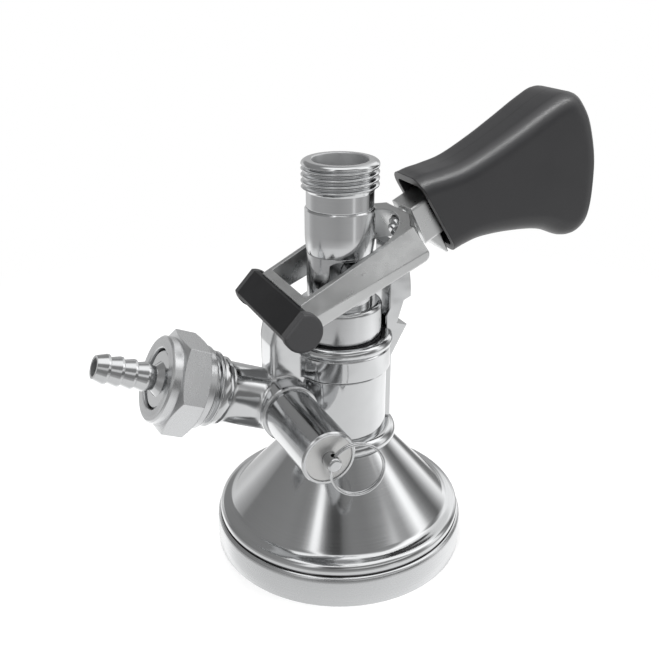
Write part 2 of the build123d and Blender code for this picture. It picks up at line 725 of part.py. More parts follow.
BARREL_TAPER = 0.5
CAGE_R = 7.2
CAGE_Z = STEP_Z + 2.0
with BuildPart() as outlet_barrel:
    with BuildSketch(Plane.XZ):
        with BuildLine():
            Line((CAGE_R, OUTLET_SEAM_Z - SEAT), (OUTLET_BARREL_R - 0.4, OUTLET_SEAM_Z - SEAT))
            Line(
                (OUTLET_BARREL_R - 0.4, OUTLET_SEAM_Z - SEAT),
                (OUTLET_BARREL_R, OUTLET_SEAM_Z - 0.5),
            )
            Line((OUTLET_BARREL_R, OUTLET_SEAM_Z - 0.5), (OUTLET_BARREL_R, STEP_Z + 6.0))
            ThreePointArc(
                (OUTLET_BARREL_R, STEP_Z + 6.0),
                (OUTLET_BARREL_R - BARREL_TAPER * 0.25, STEP_Z + 3.0),
                (OUTLET_BARREL_R - BARREL_TAPER, STEP_Z + SEAT),
            )
            Polyline(
                (OUTLET_BARREL_R - BARREL_TAPER, STEP_Z + SEAT),
                (BEER_R, STEP_Z + SEAT),
                (BEER_R, CAGE_Z - 1.6),
                (CAGE_R, CAGE_Z + 0.6),
                (CAGE_R, OUTLET_SEAM_Z - SEAT),
            )
        make_face()
    revolve(axis=Axis.Z)
save(outlet_barrel.part, "outlet_barrel")

with BuildPart() as outlet_spigot:
    with BuildSketch(Plane.XZ):
        with BuildLine():
            thread_low = OUTLET_TOP - THREAD_L
            Polyline(
                (OUTLET_BORE_R - 1.6, OUTLET_SEAM_Z),
                (OUTLET_BARREL_R - 0.5, OUTLET_SEAM_Z),
                (OUTLET_NECK_R, OUTLET_SEAM_Z + 0.5),
                (OUTLET_NECK_R, thread_low - 0.9),
                (THREAD_R, thread_low),
                (THREAD_R, OUTLET_TOP - 0.7),
                (THREAD_R - 0.9, OUTLET_TOP),
                (OUTLET_BORE_R + 0.3, OUTLET_TOP),
                (OUTLET_BORE_R, OUTLET_TOP - 0.3),
                (OUTLET_BORE_R, OUTLET_SEAM_Z + 2.4),
                (OUTLET_BORE_R - 1.6, OUTLET_SEAM_Z + 1.6),
                (OUTLET_BORE_R - 1.6, OUTLET_SEAM_Z),
            )
        make_face()
    revolve(axis=Axis.Z)
save(outlet_spigot.part, "outlet_spigot")

# cage of the beer check valve: a ring on three legs
BALL_R = 5.4
BALL_Z = CAGE_Z + 0.6 + 2.6
CAGE_TOP = OUTLET_SEAM_Z - 0.1
with BuildPart() as ball_cage:
    with BuildSketch(Plane.XY.offset(CAGE_TOP - 1.4)):
        Circle(CAGE_R - SEAT)
        Circle(CAGE_R - 2.8, mode=Mode.SUBTRACT)
    extrude(amount=1.4)
    with BuildSketch(Plane.XY.offset(CAGE_TOP - 1.4)):
        with PolarLocations(CAGE_R - 0.75, 3):
            Rectangle(1.2, 2.4)
    extrude(amount=-(CAGE_TOP - 1.4 - CAGE_Z - 1.0))
save(ball_cage.part, "ball_cage")

with BuildPart() as check_ball:
    with BuildSketch(Plane.XZ):
        with BuildLine():
            ThreePointArc((0, BALL_Z - BALL_R), (BALL_R, BALL_Z), (0, BALL_Z + BALL_R))
            Line((0, BALL_Z + BALL_R), (0, BALL_Z - BALL_R))
        make_face()
    revolve(axis=Axis.Z)
save(check_ball.part, "check_ball")

# ---------------------------------------------------------------- lever
DRIVE_U = (-PIVOT_X) * cos(radians(LEVER_ANGLE)) + (DRIVE_Z - PIVOT_Z) * sin(radians(LEVER_ANGLE))
DRIVE_V = PIVOT_X * sin(radians(LEVER_ANGLE)) + (DRIVE_Z - PIVOT_Z) * cos(radians(LEVER_ANGLE))
CAP_R = 5.9
CAP_U = -1.1
CAP_V = 1.6
CAP_FACE = 4.1           # flat of the cap, from the middle of its cheeks
CAP_FACE_A = 109.7
CAP_WALL = 1.3
CAP_OUT = 20.9
SHOULDER_REAR = 2.9      # height of the arm's shoulder line, rear and front
SHOULDER_FRONT = -1.1
BOTTOM_REAR = -1.2
BOTTOM_FRONT = -3.6
NECK_HALF = 7.2
PLATE_BOTTOM = -4.2
SPRING_BORE_R = 3.9
SPRING_BORE_END = 54.5


def arm_outline(shoulder, bottom, side):
    Polyline(
        (side * ARM_IN, bottom),
        (side * ARM_IN, ARM_TOP),
        (side * ARM_LAND, ARM_TOP),
        (side * ARM_OUT, shoulder),
        (side * ARM_OUT, bottom),
        (side * ARM_IN, bottom),
    )


with BuildPart() as lever:
    for side in (-1, 1):
        with BuildSketch(lever_section(0)):
            with BuildLine():
                arm_outline(SHOULDER_REAR, BOTTOM_REAR, side)
            make_face()
        with BuildSketch(lever_section(ARM_L)):
            with BuildLine():
                arm_outline(SHOULDER_FRONT, BOTTOM_FRONT, side)
            make_face()
        loft(ruled=True)
        # rounded eye at the pivot
        with BuildSketch(lever_plane(-side * ARM_IN)):
            with Locations((-0.3, 0.8)):
                Circle(5.0)
        extrude(amount=side * (ARM_OUT - ARM_IN))
    # rear crosspiece in front of the cap
    with BuildSketch(lever_plane(ARM_IN + 0.5)):
        with Locations((3.6, ARM_TOP - 0.9)):
            Rectangle(4.0, 1.8)
    extrude(amount=2 * (ARM_IN + 0.5))
    # front crosspiece and the neck, seen from above
    top = lever_plane(0)
    plate = Plane(
        origin=lever_point(0, 0, ARM_TOP),
        x_dir=top.x_dir,
        z_dir=top.y_dir,
    )
    with BuildSketch(plate):
        with BuildLine():
            Polyline(
                (WINDOW_END - 9.5, -ARM_LAND),
                (WINDOW_END - 2.6, -ARM_LAND),
            )
            ThreePointArc(
                (WINDOW_END - 2.6, -ARM_LAND),
                (WINDOW_END - 0.2, -NECK_HALF - 3.4),
                (CROSS_END, -NECK_HALF),
            )
            Line((CROSS_END, -NECK_HALF), (CROSS_END, NECK_HALF))
            ThreePointArc(
                (CROSS_END, NECK_HALF),
                (WINDOW_END - 0.2, NECK_HALF + 3.4),
                (WINDOW_END - 2.6, ARM_LAND),
            )
            Polyline(
                (WINDOW_END - 2.6, ARM_LAND),
                (WINDOW_END - 9.5, ARM_LAND),
                (WINDOW_END - 9.5, -ARM_LAND),
            )
        make_face()
    extrude(amount=-(ARM_TOP - PLATE_BOTTOM))
    # the window's front end is an arch
    with BuildSketch(plate):
        with BuildLine():
            Line((WINDOW_START, -ARM_IN), (WINDOW_END - 10.5, -ARM_IN))
            ThreePointArc(
                (WINDOW_END - 10.5, -ARM_IN),
                (WINDOW_END, 0),
                (WINDOW_END - 10.5, ARM_IN),
            )
            Polyline(
                (WINDOW_END - 10.5, ARM_IN),
                (WINDOW_START, ARM_IN),
                (WINDOW_START, -ARM_IN),
            )
        make_face()
    extrude(amount=-30, both=True, mode=Mode.SUBTRACT)
    # the arms' front ends are rounded below
    low_front = lever.edges().filter_by(Axis.Y).filter_by(
        lambda edge: (edge.center() - Vector(lever_point(ARM_L, edge.center().Y, BOTTOM_FRONT))).length < 0.1
    )
    fillet(low_front, ARM_NOSE_R)
    # round stem that guides the shank
    with BuildSketch(lever_section(CROSS_END - 1.0)):
        with Locations((0, LATCH_V)):
            Circle(STEM_R)
    extrude(amount=STEM_END - CROSS_END + 1.0)
    # bore of the latch bolt, wider where its spring sits
    with BuildSketch(lever_section(WINDOW_END - 2)):
        with Locations((0, LATCH_V)):
            Circle(LATCH_R + RUN)
    extrude(amount=STEM_END, mode=Mode.SUBTRACT)
    with BuildSketch(lever_section(WINDOW_END - 2)):
        with Locations((0, LATCH_V)):
            Circle(SPRING_BORE_R)
    extrude(amount=SPRING_BORE_END - WINDOW_END + 2, mode=Mode.SUBTRACT)
    # blind holes of the drive pins and the through hole of the pivot pin
    for side in (-1, 1):
        with BuildSketch(lever_plane(side * (ARM_IN - 1))):
            with Locations((DRIVE_U, DRIVE_V)):
                Circle(DRIVE_STEM_R + SEAT)
        extrude(amount=-side * 4.0, mode=Mode.SUBTRACT)
    with BuildSketch(lever_plane(0)):
        Circle(PIVOT_R + SEAT)
    extrude(amount=ARM_OUT + 1, both=True, mode=Mode.SUBTRACT)
    # flat under the cap
    with BuildSketch(lever_plane(0)):
        with Locations(Location((CAP_U, CAP_V), CAP_FACE_A)):
            with Locations((CAP_FACE - CAP_WALL - SEAT + 5.0, 1.8)):
                Rectangle(10.0, 14.4)
    extrude(amount=ARM_OUT + 1, both=True, mode=Mode.SUBTRACT)
save(lever.part, "lever")

with BuildPart() as pivot_pin:
    with BuildSketch(lever_plane(0)):
        Circle(PIVOT_R)
    extrude(amount=ARM_OUT - 0.1, both=True)
    chamfer(pivot_pin.edges(), 0.4)
save(pivot_pin.part, "pivot_pin")

with BuildPart() as drive_pins:
    for side in (-1, 1):
        with BuildSketch(lever_plane(side * (SLOT_FLOOR + FREE))):
            with Locations((DRIVE_U, DRIVE_V)):
                Circle(DRIVE_R)
        extrude(amount=-side * (ARM_IN - SEAT - SLOT_FLOOR - FREE))
        with BuildSketch(lever_plane(side * (ARM_IN - SEAT))):
            with Locations((DRIVE_U, DRIVE_V)):
                Circle(DRIVE_STEM_R)
        extrude(amount=-side * 2.9)
save(drive_pins.part, "drive_pins")

# cover over the pivot: two round cheeks joined by a flat wall
with BuildPart() as lever_cap:
    with BuildSketch(lever_plane(0)):
        with Locations((CAP_U, CAP_V)):
            Circle(CAP_R)
        with Locations(Location((CAP_U, CAP_V), CAP_FACE_A)):
            with Locations((CAP_FACE + 5.0, 0)):
                Rectangle(10.0, 3 * CAP_R, mode=Mode.SUBTRACT)
    extrude(amount=CAP_OUT, both=True)
    fillet(lever_cap.faces().group_by(Axis.Y)[0].edges() + lever_cap.faces().group_by(Axis.Y)[-1].edges(), 0.8)
    # hollow between the cheeks, open below
    with BuildSketch(lever_plane(0)):
        with Locations(Location((CAP_U, CAP_V), CAP_FACE_A)):
            with Locations((CAP_FACE - CAP_WALL - 10.0, 0)):
                Rectangle(20.0, 3 * CAP_R)
    extrude(amount=ARM_OUT + SEAT, both=True, mode=Mode.SUBTRACT)
save(lever_cap.part, "lever_cap")

# ---------------------------------------------------------------- latch and grip
LATCH_HEAD_R = 3.5
LATCH_HEAD_U = LATCH_NOSE + 1.6
LATCH_HEAD_T = 1.3
BOLT_END = STEM_END + LATCH_STROKE_IN + 6.0
with BuildPart() as latch_bolt:
    with BuildSketch(lever_section(LATCH_NOSE)):
        with Locations((0, LATCH_V)):
            Circle(LATCH_R)
    extrude(amount=BOLT_END - LATCH_NOSE)
    chamfer(latch_bolt.edges().filter_by(GeomType.CIRCLE).group_by(Axis.X)[0], 0.4)
    with BuildSketch(lever_section(LATCH_HEAD_U)):
        with Locations((0, LATCH_V)):
            Circle(LATCH_HEAD_R)
    extrude(amount=LATCH_HEAD_T)
save(latch_bolt.part, "latch_bolt")

LATCH_WIRE = 0.5
latch_spring = coil(
    lever_section(LATCH_HEAD_U + LATCH_HEAD_T + SEAT, LATCH_V),
    LATCH_R + 0.25 + LATCH_WIRE,
    LATCH_WIRE,
    SPRING_BORE_END - LATCH_STROKE_OUT - LATCH_HEAD_U - LATCH_HEAD_T - 3 * SEAT,
    4,
)
save(latch_spring, "latch_spring")

MOUTH_W = 15.0
MOUTH_TOP = 11.6
MOUTH_BOTTOM = -11.4
MOUTH_DEPTH = 7.0
TANG_BOTTOM = -13.4
TANG_HALF = 5.0
with BuildPart() as shank:
    with BuildSketch(lever_section(SHANK_START)):
        with Locations((0, (SHANK_TOP + SHANK_BOTTOM) / 2)):
            RectangleRounded(SHANK_W, SHANK_TOP - SHANK_BOTTOM, 0.8)
    extrude(amount=SHANK_END - SHANK_START)
    with BuildSketch(lever_section(SHANK_START)):
        with Locations((0, LATCH_V)):
            Circle(STEM_R + RUN)
    extrude(amount=STEM_END + LATCH_STROKE_IN + 0.5 - SHANK_START, mode=Mode.SUBTRACT)
    with BuildSketch(lever_section(SHANK_START)):
        with Locations((0, LATCH_V)):
            Circle(LATCH_R + SEAT)
    extrude(amount=BOLT_END + SEAT - SHANK_START, mode=Mode.SUBTRACT)
    # tang under the shank, in front of the grip's mouth
    with BuildSketch(lever_plane(0)):
        with BuildLine():
            Polyline(
                (SHANK_START + 1.8, SHANK_BOTTOM + 0.5),
                (GRIP_MOUTH - 0.6, TANG_BOTTOM),
                (GRIP_MOUTH, TANG_BOTTOM),
                (GRIP_MOUTH, SHANK_BOTTOM + 0.5),
                (SHANK_START + 1.8, SHANK_BOTTOM + 0.5),
            )
        make_face()
    extrude(amount=TANG_HALF, both=True)
save(shank.part, "shank")

# outline of the grip: share of its length from the mouth, share of its height there
GRIP_OUTLINE = (
    (0.000, 0.986),
    (0.172, 0.817),
    (0.407, 0.718),
    (0.643, 0.746),
    (0.828, 0.746),
    (0.956, 0.458),
    (0.997, -0.141),
    (0.956, -1.056),
    (0.865, -1.901),
    (0.727, -2.366),
    (0.584, -2.113),
    (0.441, -1.620),
    (0.239, -1.155),
    (0.000, -0.958),
)
with BuildPart() as grip:
    with BuildSketch(lever_plane(-GRIP_W / 2)):
        with BuildLine():
            outline = Spline(
                [(GRIP_MOUTH + along * GRIP_L, up * GRIP_H) for along, up in GRIP_OUTLINE]
            )
            Line(outline @ 1, outline @ 0)
        make_face()
    extrude(amount=-GRIP_W)
    side_faces = grip.faces().filter_by(Axis.Y)
    rim = (side_faces[0].edges() + side_faces[-1].edges()).filter_by(
        lambda edge: (edge @ 0.5 - Vector(lever_point(GRIP_MOUTH, (edge @ 0.5).Y, 0))).length > 6
    )
    fillet(rim, GRIP_ROUND)
    # hollow mouth, then the pocket that holds the shank
    with BuildSketch(lever_section(GRIP_MOUTH)):
        with Locations((0, (MOUTH_TOP + MOUTH_BOTTOM) / 2)):
            RectangleRounded(MOUTH_W, MOUTH_TOP - MOUTH_BOTTOM, 2.0)
    extrude(amount=MOUTH_DEPTH, mode=Mode.SUBTRACT)
    with BuildSketch(lever_section(GRIP_MOUTH)):
        with Locations((0, (SHANK_TOP + SHANK_BOTTOM) / 2)):
            RectangleRounded(
                SHANK_W + 2 * SEAT, SHANK_TOP - SHANK_BOTTOM + 2 * SEAT, 0.8 + SEAT
            )
    extrude(amount=SHANK_END + SEAT - GRIP_MOUTH, mode=Mode.SUBTRACT)
save(grip.part, "grip")
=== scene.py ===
import json
from math import cos, pi, radians, sin

import bmesh
import bpy
from mathutils import Matrix, Vector

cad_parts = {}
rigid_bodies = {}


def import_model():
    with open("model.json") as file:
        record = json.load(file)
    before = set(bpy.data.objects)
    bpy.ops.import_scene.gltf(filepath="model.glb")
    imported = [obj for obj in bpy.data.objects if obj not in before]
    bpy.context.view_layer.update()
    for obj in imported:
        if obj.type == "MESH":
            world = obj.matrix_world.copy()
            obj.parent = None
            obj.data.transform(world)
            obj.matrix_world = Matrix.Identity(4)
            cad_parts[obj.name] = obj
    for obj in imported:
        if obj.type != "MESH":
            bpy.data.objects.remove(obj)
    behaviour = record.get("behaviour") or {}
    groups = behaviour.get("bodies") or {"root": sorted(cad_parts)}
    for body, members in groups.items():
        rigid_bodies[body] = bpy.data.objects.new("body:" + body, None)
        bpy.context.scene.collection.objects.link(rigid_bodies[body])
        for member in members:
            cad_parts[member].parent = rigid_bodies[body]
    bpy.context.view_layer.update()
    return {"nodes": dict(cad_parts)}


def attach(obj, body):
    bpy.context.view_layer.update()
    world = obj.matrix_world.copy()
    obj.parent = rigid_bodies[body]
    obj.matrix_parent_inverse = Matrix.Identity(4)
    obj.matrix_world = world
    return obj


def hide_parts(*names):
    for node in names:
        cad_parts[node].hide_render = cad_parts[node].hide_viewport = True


# the start-up file's own objects go before the frame comes in
for leftover in list(bpy.data.objects):
    bpy.data.objects.remove(leftover)
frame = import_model()
nodes = frame["nodes"]


# ---------------------------------------------------------------- bell
# The bell drops over the keg's neck. It is spun from stainless sheet and turned
# bright on a lathe, so fine rings run round it and its highlights stretch up the cone.
def srgb(colour):
    """Linear RGBA of an sRGB hex colour."""
    parts = [int(colour[i:i + 2], 16) / 255 for i in (1, 3, 5)]
    return [c / 12.92 if c <= 0.04045 else ((c + 0.055) / 1.055) ** 2.4 for c in parts] + [1.0]


def darker(colour, share):
    """Linear RGBA of an sRGB hex colour, let down to a share of its light."""
    return [c * share for c in srgb(colour)[:3]] + [1.0]


def add(tree, kind, settings=None, inputs=None):
    """Adds a node. An input is a value, or a (node, output) pair to link from."""
    made = tree.nodes.new(kind)
    for key, value in (settings or {}).items():
        setattr(made, key, value)
    for key, value in (inputs or {}).items():
        if isinstance(value, tuple) and isinstance(value[0], bpy.types.Node):
            tree.links.new(value[0].outputs[value[1]], made.inputs[key])
        else:
            made.inputs[key].default_value = value
    return made


def new_material(name):
    """An empty node material and its tree."""
    material = bpy.data.materials.new(name)
    material.use_nodes = True
    material.node_tree.nodes.clear()
    return material, material.node_tree


def dress(node_name, material):
    """Gives a carried-over CAD node its material."""
    for slot in nodes[node_name].material_slots:
        slot.material = material


def turned_steel(name, colour, roughness, ring_mm, ring_depth_mm, edge_mm,
                 tilt=0.0, centre=(0, 0, 0), bore_mm=0.0):
    """Stainless steel turned on a lathe, about an axis that leans by tilt from +Z towards -X.

    The eye gets the room in long bands along the axis, blurred a little by fine rings,
    a bright line along each edge and a dull bore.
    """
    material, tree = new_material(name)
    place = add(tree, "ShaderNodeTexCoord")
    along = add(tree, "ShaderNodeMapping", {"vector_type": "TEXTURE"}, {
        "Vector": (place, "Object"),
        "Location": centre,
        "Rotation": (0, -tilt, 0),
    })
    parts = add(tree, "ShaderNodeSeparateXYZ", None, {0: (along, 0)})
    across = add(tree, "ShaderNodeCombineXYZ", None, {"X": (parts, "X"), "Y": (parts, "Y")})
    radius = add(tree, "ShaderNodeVectorMath", {"operation": "LENGTH"}, {0: (across, 0)})
    rings = add(tree, "ShaderNodeCombineXYZ", None, {"X": (radius, "Value"), "Z": (parts, "Z")})
    # turning marks, a few tenths of a millimetre apart, drawn coarser than the real feed
    marks = add(tree, "ShaderNodeTexNoise", None, {
        "Vector": (rings, 0), "Scale": 1000 / ring_mm, "Detail": 3.0, "Roughness": 0.7,
    })
    # handling haze, a few millimetres across
    haze = add(tree, "ShaderNodeTexNoise", None, {
        "Vector": (place, "Object"), "Scale": 1000 / 9.0, "Detail": 4.0,
    })
    tone = add(tree, "ShaderNodeMapRange", None, {
        "Value": (marks, "Fac"), "From Min": 0.3, "From Max": 0.7,
        "To Min": roughness * 0.75, "To Max": roughness * 1.25,
    })
    worn = add(tree, "ShaderNodeMapRange", None, {
        "Value": (haze, "Fac"), "From Min": 0.35, "From Max": 0.7, "To Min": 0.9, "To Max": 1.25,
    })
    rough = add(tree, "ShaderNodeMath", {"operation": "MULTIPLY"}, {0: (tone, 0), 1: (worn, 0)})
    if bore_mm:
        # a drilled bore stays much rougher than the turned outside
        inside = add(tree, "ShaderNodeMath", {"operation": "LESS_THAN"}, {
            0: (radius, "Value"), 1: bore_mm / 1000,
        })
        rough = add(tree, "ShaderNodeMath", {"operation": "MULTIPLY_ADD"}, {
            0: (inside, 0), 1: 0.35, 2: (rough, 0),
        })
    shade = add(tree, "ShaderNodeMix", {"data_type": "RGBA"}, {
        "Factor": (marks, "Fac"), 6: darker(colour, 0.9), 7: srgb(colour),
    })
    groove = add(tree, "ShaderNodeBump", None, {
        "Strength": 1.0, "Distance": ring_depth_mm / 1000, "Height": (marks, "Fac"),
    })
    if edge_mm:
        broken = add(tree, "ShaderNodeBevel", {"samples": 6}, {"Radius": edge_mm / 1000})
        tree.links.new(broken.outputs[0], groove.inputs["Normal"])
    steel = add(tree, "ShaderNodeBsdfPrincipled", None, {
        "Base Color": (shade, 2), "Metallic": 1.0, "Roughness": (rough, 0), "Normal": (groove, 0),
    })
    add(tree, "ShaderNodeOutputMaterial", None, {"Surface": (steel, 0)})
    return material


def piece_from(name, made):
    """Turns mesh code into a linked piece whose faces point outwards."""
    bmesh.ops.recalc_face_normals(made, faces=made.faces)
    mesh = bpy.data.meshes.new(name)
    made.to_mesh(mesh)
    made.free()
    piece = bpy.data.objects.new(name, mesh)
    bpy.context.scene.collection.objects.link(piece)
    return piece


def turned_blank(name, profile, centre, axis, across, steps):
    """A closed turned body: profile points are (radius, distance along the axis) in mm."""
    made = bmesh.new()
    side = axis.cross(across)
    rings = []
    for radius, along in profile:
        ring = []
        for step in range(steps):
            turn_by = 2 * pi * step / steps
            out = across * cos(turn_by) + side * sin(turn_by)
            ring.append(made.verts.new(centre + axis * (along / 1000) + out * (radius / 1000)))
        rings.append(ring)
    for low_ring, high_ring in zip(rings, rings[1:] + rings[:1]):
        for step in range(steps):
            after = (step + 1) % steps
            made.faces.new((low_ring[step], low_ring[after], high_ring[after], high_ring[step]))
    return piece_from(name, made)


def shade_by_angle(piece, degrees_between):
    """Smooth shading that keeps edges sharper than the angle."""
    mesh = piece.data
    for polygon in mesh.polygons:
        polygon.use_smooth = True
    mesh.set_sharp_from_angle(angle=radians(degrees_between))


ORIGIN = Vector((0, 0, 0))
UP = Vector((0, 0, 1))
NEAR_SIDE = Vector((0, -1, 0))
SKIRT_TOP = 0.010         # the satin of the skirt ends here
# height and half width of the painted shade line in the groove under the bead
GROOVE_SHADE_Z = 0.0104         # middle of the groove under the bead
GROOVE_SHADE_HALF = 0.0002
SKIRT_SATIN = 0.16        # by which the skirt is rougher than the cone
# stainless sheet spun and turned bright: a close mirror whose bands run up the cone
bell_steel = turned_steel("spun_stainless", "#C9CACB", 0.11, 0.35, 0.002, 0.0)
tree = bell_steel.node_tree
shell = next(node for node in tree.nodes if node.type == "BSDF_PRINCIPLED")
place = add(tree, "ShaderNodeTexCoord")
parts = add(tree, "ShaderNodeSeparateXYZ", None, {0: (place, "Object")})
# the skirt is brushed to a satin, and a dark line of painted shade runs round the groove under the bead
skirt = add(tree, "ShaderNodeMapRange", None, {
    "Value": (parts, "Z"), "From Min": SKIRT_TOP + 0.0001, "From Max": SKIRT_TOP - 0.0001,
})
turned = shell.inputs["Roughness"].links[0].from_node
satin = add(tree, "ShaderNodeMath", {"operation": "MULTIPLY_ADD"}, {
    0: (skirt, 0), 1: SKIRT_SATIN, 2: (turned, 0),
})
tree.links.new(satin.outputs[0], shell.inputs["Roughness"])
# painted shade: a band of dark grey round the groove, in place of the shade that falls under the bead
groove = add(tree, "ShaderNodeMath", {"operation": "COMPARE"}, {
    0: (parts, "Z"), 1: GROOVE_SHADE_Z, 2: GROOVE_SHADE_HALF,
})
spun = shell.inputs["Base Color"].links[0].from_node
groove_shade_painted = add(tree, "ShaderNodeMix", {"data_type": "RGBA"}, {
    "Factor": (groove, 0), 6: (spun, 2), 7: srgb("#555555"),
})
tree.links.new(groove_shade_painted.outputs[2], shell.inputs["Base Color"])
bell = turned_blank("spun_bell", [
    # skirt, from its foot up
    (38.0, 0.0), (40.3, 0.0), (40.65, 0.12), (40.8, 0.4), (40.78, 4.0), (40.7, 8.4), (40.6, 9.2),
    (40.35, 9.8),
    # groove and bead
    (39.9, 10.15), (39.3, 10.3), (39.2, 10.45), (39.45, 10.6), (39.62, 10.9), (39.7, 11.4), (39.68, 12.0),
    (39.58, 12.6), (39.38, 13.1), (39.05, 13.5), (38.6, 13.8), (38.0, 14.0), (37.2, 14.15), (36.6, 14.28),
    # the curve in to the cone, and the cone
    (36.1, 14.45), (35.65, 14.7), (35.25, 15.02), (34.93, 15.3), (34.64, 15.64), (16.98, 35.93),
    (16.69, 36.27),
    # rolled collar
    (16.4, 36.6), (16.92, 36.87), (17.38, 37.24), (17.75, 37.7), (18.02, 38.22), (18.18, 38.78),
    (18.21, 39.37), (18.13, 39.95), (17.93, 40.51), (17.63, 41.01), (17.22, 41.43), (16.74, 41.77),
    (16.2, 42.0),
    # inside, back down to the foot
    (15.02, 42.0), (15.02, 36.6), (12.52, 36.6), (12.52, 34.0), (16.0, 34.0), (33.4, 12.5), (38.0, 11.0),
], ORIGIN, UP, NEAR_SIDE, 288)
bell.data.materials.append(bell_steel)
shade_by_angle(bell, 34)
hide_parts("bell")
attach(bell, "base")

# ---------------------------------------------------------------- body
# The body carries both posts, the gas branch and the relief boss. It is one
# investment casting, polished bright, so its reflections are slightly wavy.
def cast_steel(name, colour, roughness, wave_mm, wave_depth_mm, grain_depth_mm, edge_mm, soft_side=None):
    """Cast stainless steel, finished by hand.

    The eye gets reflections that waver a little, a fine grain and rounded edges.
    """
    material, tree = new_material(name)
    place = add(tree, "ShaderNodeTexCoord")
    # slow waves that the polishing mop leaves
    waves = add(tree, "ShaderNodeTexNoise", None, {
        "Vector": (place, "Object"), "Scale": 1000 / wave_mm, "Detail": 1.0,
    })
    # the casting's grain, a third of a millimetre, drawn coarser than the real one
    grain = add(tree, "ShaderNodeTexNoise", None, {
        "Vector": (place, "Object"), "Scale": 1000 / 0.35, "Detail": 3.0, "Roughness": 0.65,
    })
    # handling haze in patches of six millimetres
    haze = add(tree, "ShaderNodeTexNoise", None, {
        "Vector": (place, "Object"), "Scale": 1000 / 6.0, "Detail": 4.0,
    })
    rough = add(tree, "ShaderNodeMapRange", None, {
        "Value": (haze, "Fac"), "From Min": 0.3, "From Max": 0.7,
        "To Min": roughness * 0.75, "To Max": roughness * 1.3,
    })
    shade = add(tree, "ShaderNodeMix", {"data_type": "RGBA"}, {
        "Factor": (haze, "Fac"), 6: darker(colour, 0.88), 7: srgb(colour),
    })
    rounding = add(tree, "ShaderNodeBevel", {"samples": 8}, {"Radius": edge_mm / 1000})
    if soft_side:
        # the rounding grows from the turned barrel out to the cast branches
        start_mm, end_mm, most_mm = soft_side
        where = add(tree, "ShaderNodeSeparateXYZ", None, {0: (place, "Object")})
        grow = add(tree, "ShaderNodeMapRange", None, {
            "Value": (where, "X"), "From Min": start_mm / 1000, "From Max": end_mm / 1000,
            "To Min": edge_mm / 1000, "To Max": most_mm / 1000,
        })
        tree.links.new(grow.outputs[0], rounding.inputs["Radius"])
    swell = add(tree, "ShaderNodeBump", None, {
        "Strength": 1.0, "Distance": wave_depth_mm / 1000, "Height": (waves, "Fac"),
        "Normal": (rounding, 0),
    })
    pits = add(tree, "ShaderNodeBump", None, {
        "Strength": 1.0, "Distance": grain_depth_mm / 1000, "Height": (grain, "Fac"),
        "Normal": (swell, 0),
    })
    steel = add(tree, "ShaderNodeBsdfPrincipled", None, {
        "Base Color": (shade, 2), "Metallic": 1.0, "Roughness": (rough, 0), "Normal": (pits, 0),
    })
    add(tree, "ShaderNodeOutputMaterial", None, {"Surface": (steel, 0)})
    return material


# a polished casting: nearly a mirror, with slow waves, and the joins of its branches
# are rounded more than those of the turned barrel
dress("body", cast_steel(
    "polished_cast_stainless", "#CBCCCD", 0.10, 7.0, 0.10, 0.001, 0.3, soft_side=(-14.0, -19.0, 2.2),
))

# ---------------------------------------------------------------- inner fittings of the body
# A lock ring holds the bell on the body, a black acetal bush guides the probe and
# a moulded rubber seal presses on the keg's valve.
def moulded_plastic(name, low, high, roughness, grain_mm, grain_depth_mm, edge_mm):
    """Moulded plastic with the fine spark-eroded grain of its mould.

    The eye gets one broad soft highlight, slightly mottled, and no clear reflection.
    """
    material, tree = new_material(name)
    place = add(tree, "ShaderNodeTexCoord")
    # the mould's grain, drawn coarser than the real one
    grain = add(tree, "ShaderNodeTexNoise", None, {
        "Vector": (place, "Object"), "Scale": 1000 / grain_mm, "Detail": 3.0, "Roughness": 0.6,
    })
    # slight tone from the flow of the melt, over a centimetre or so
    flow = add(tree, "ShaderNodeTexNoise", None, {
        "Vector": (place, "Object"), "Scale": 1000 / 14.0, "Detail": 3.0,
    })
    grained = add(tree, "ShaderNodeMath", {"operation": "MULTIPLY"}, {0: (grain, "Fac"), 1: 0.6})
    mixed = add(tree, "ShaderNodeMath", {"operation": "MULTIPLY_ADD"}, {
        0: (flow, "Fac"), 1: 0.4, 2: (grained, 0),
    })
    tone = add(tree, "ShaderNodeMix", {"data_type": "RGBA"}, {
        "Factor": (mixed, 0), 6: srgb(low), 7: srgb(high),
    })
    rough = add(tree, "ShaderNodeMapRange", None, {
        "Value": (flow, "Fac"), "From Min": 0.3, "From Max": 0.7,
        "To Min": roughness * 0.9, "To Max": roughness * 1.12,
    })
    rounding = add(tree, "ShaderNodeBevel", {"samples": 6}, {"Radius": edge_mm / 1000})
    skin = add(tree, "ShaderNodeBump", None, {
        "Strength": 1.0, "Distance": grain_depth_mm / 1000, "Height": (grain, "Fac"),
        "Normal": (rounding, 0),
    })
    shell = add(tree, "ShaderNodeBsdfPrincipled", None, {
        "Base Color": (tone, 2), "Roughness": (rough, 0), "Normal": (skin, 0),
    })
    add(tree, "ShaderNodeOutputMaterial", None, {"Surface": (shell, 0)})
    return material


# bar turned bright: sharp bands along the axis and crisp edges
bright_turned = turned_steel("turned_stainless", "#CBCCCD", 0.14, 0.3, 0.0015, 0.25)
dress("bell_lock_ring", bright_turned)
# black acetal is slippery and even, a little glossier than rubber
black_acetal = moulded_plastic("black_acetal", "#17171A", "#222224", 0.4, 0.5, 0.004, 0.2)
dress("guide_bush", black_acetal)
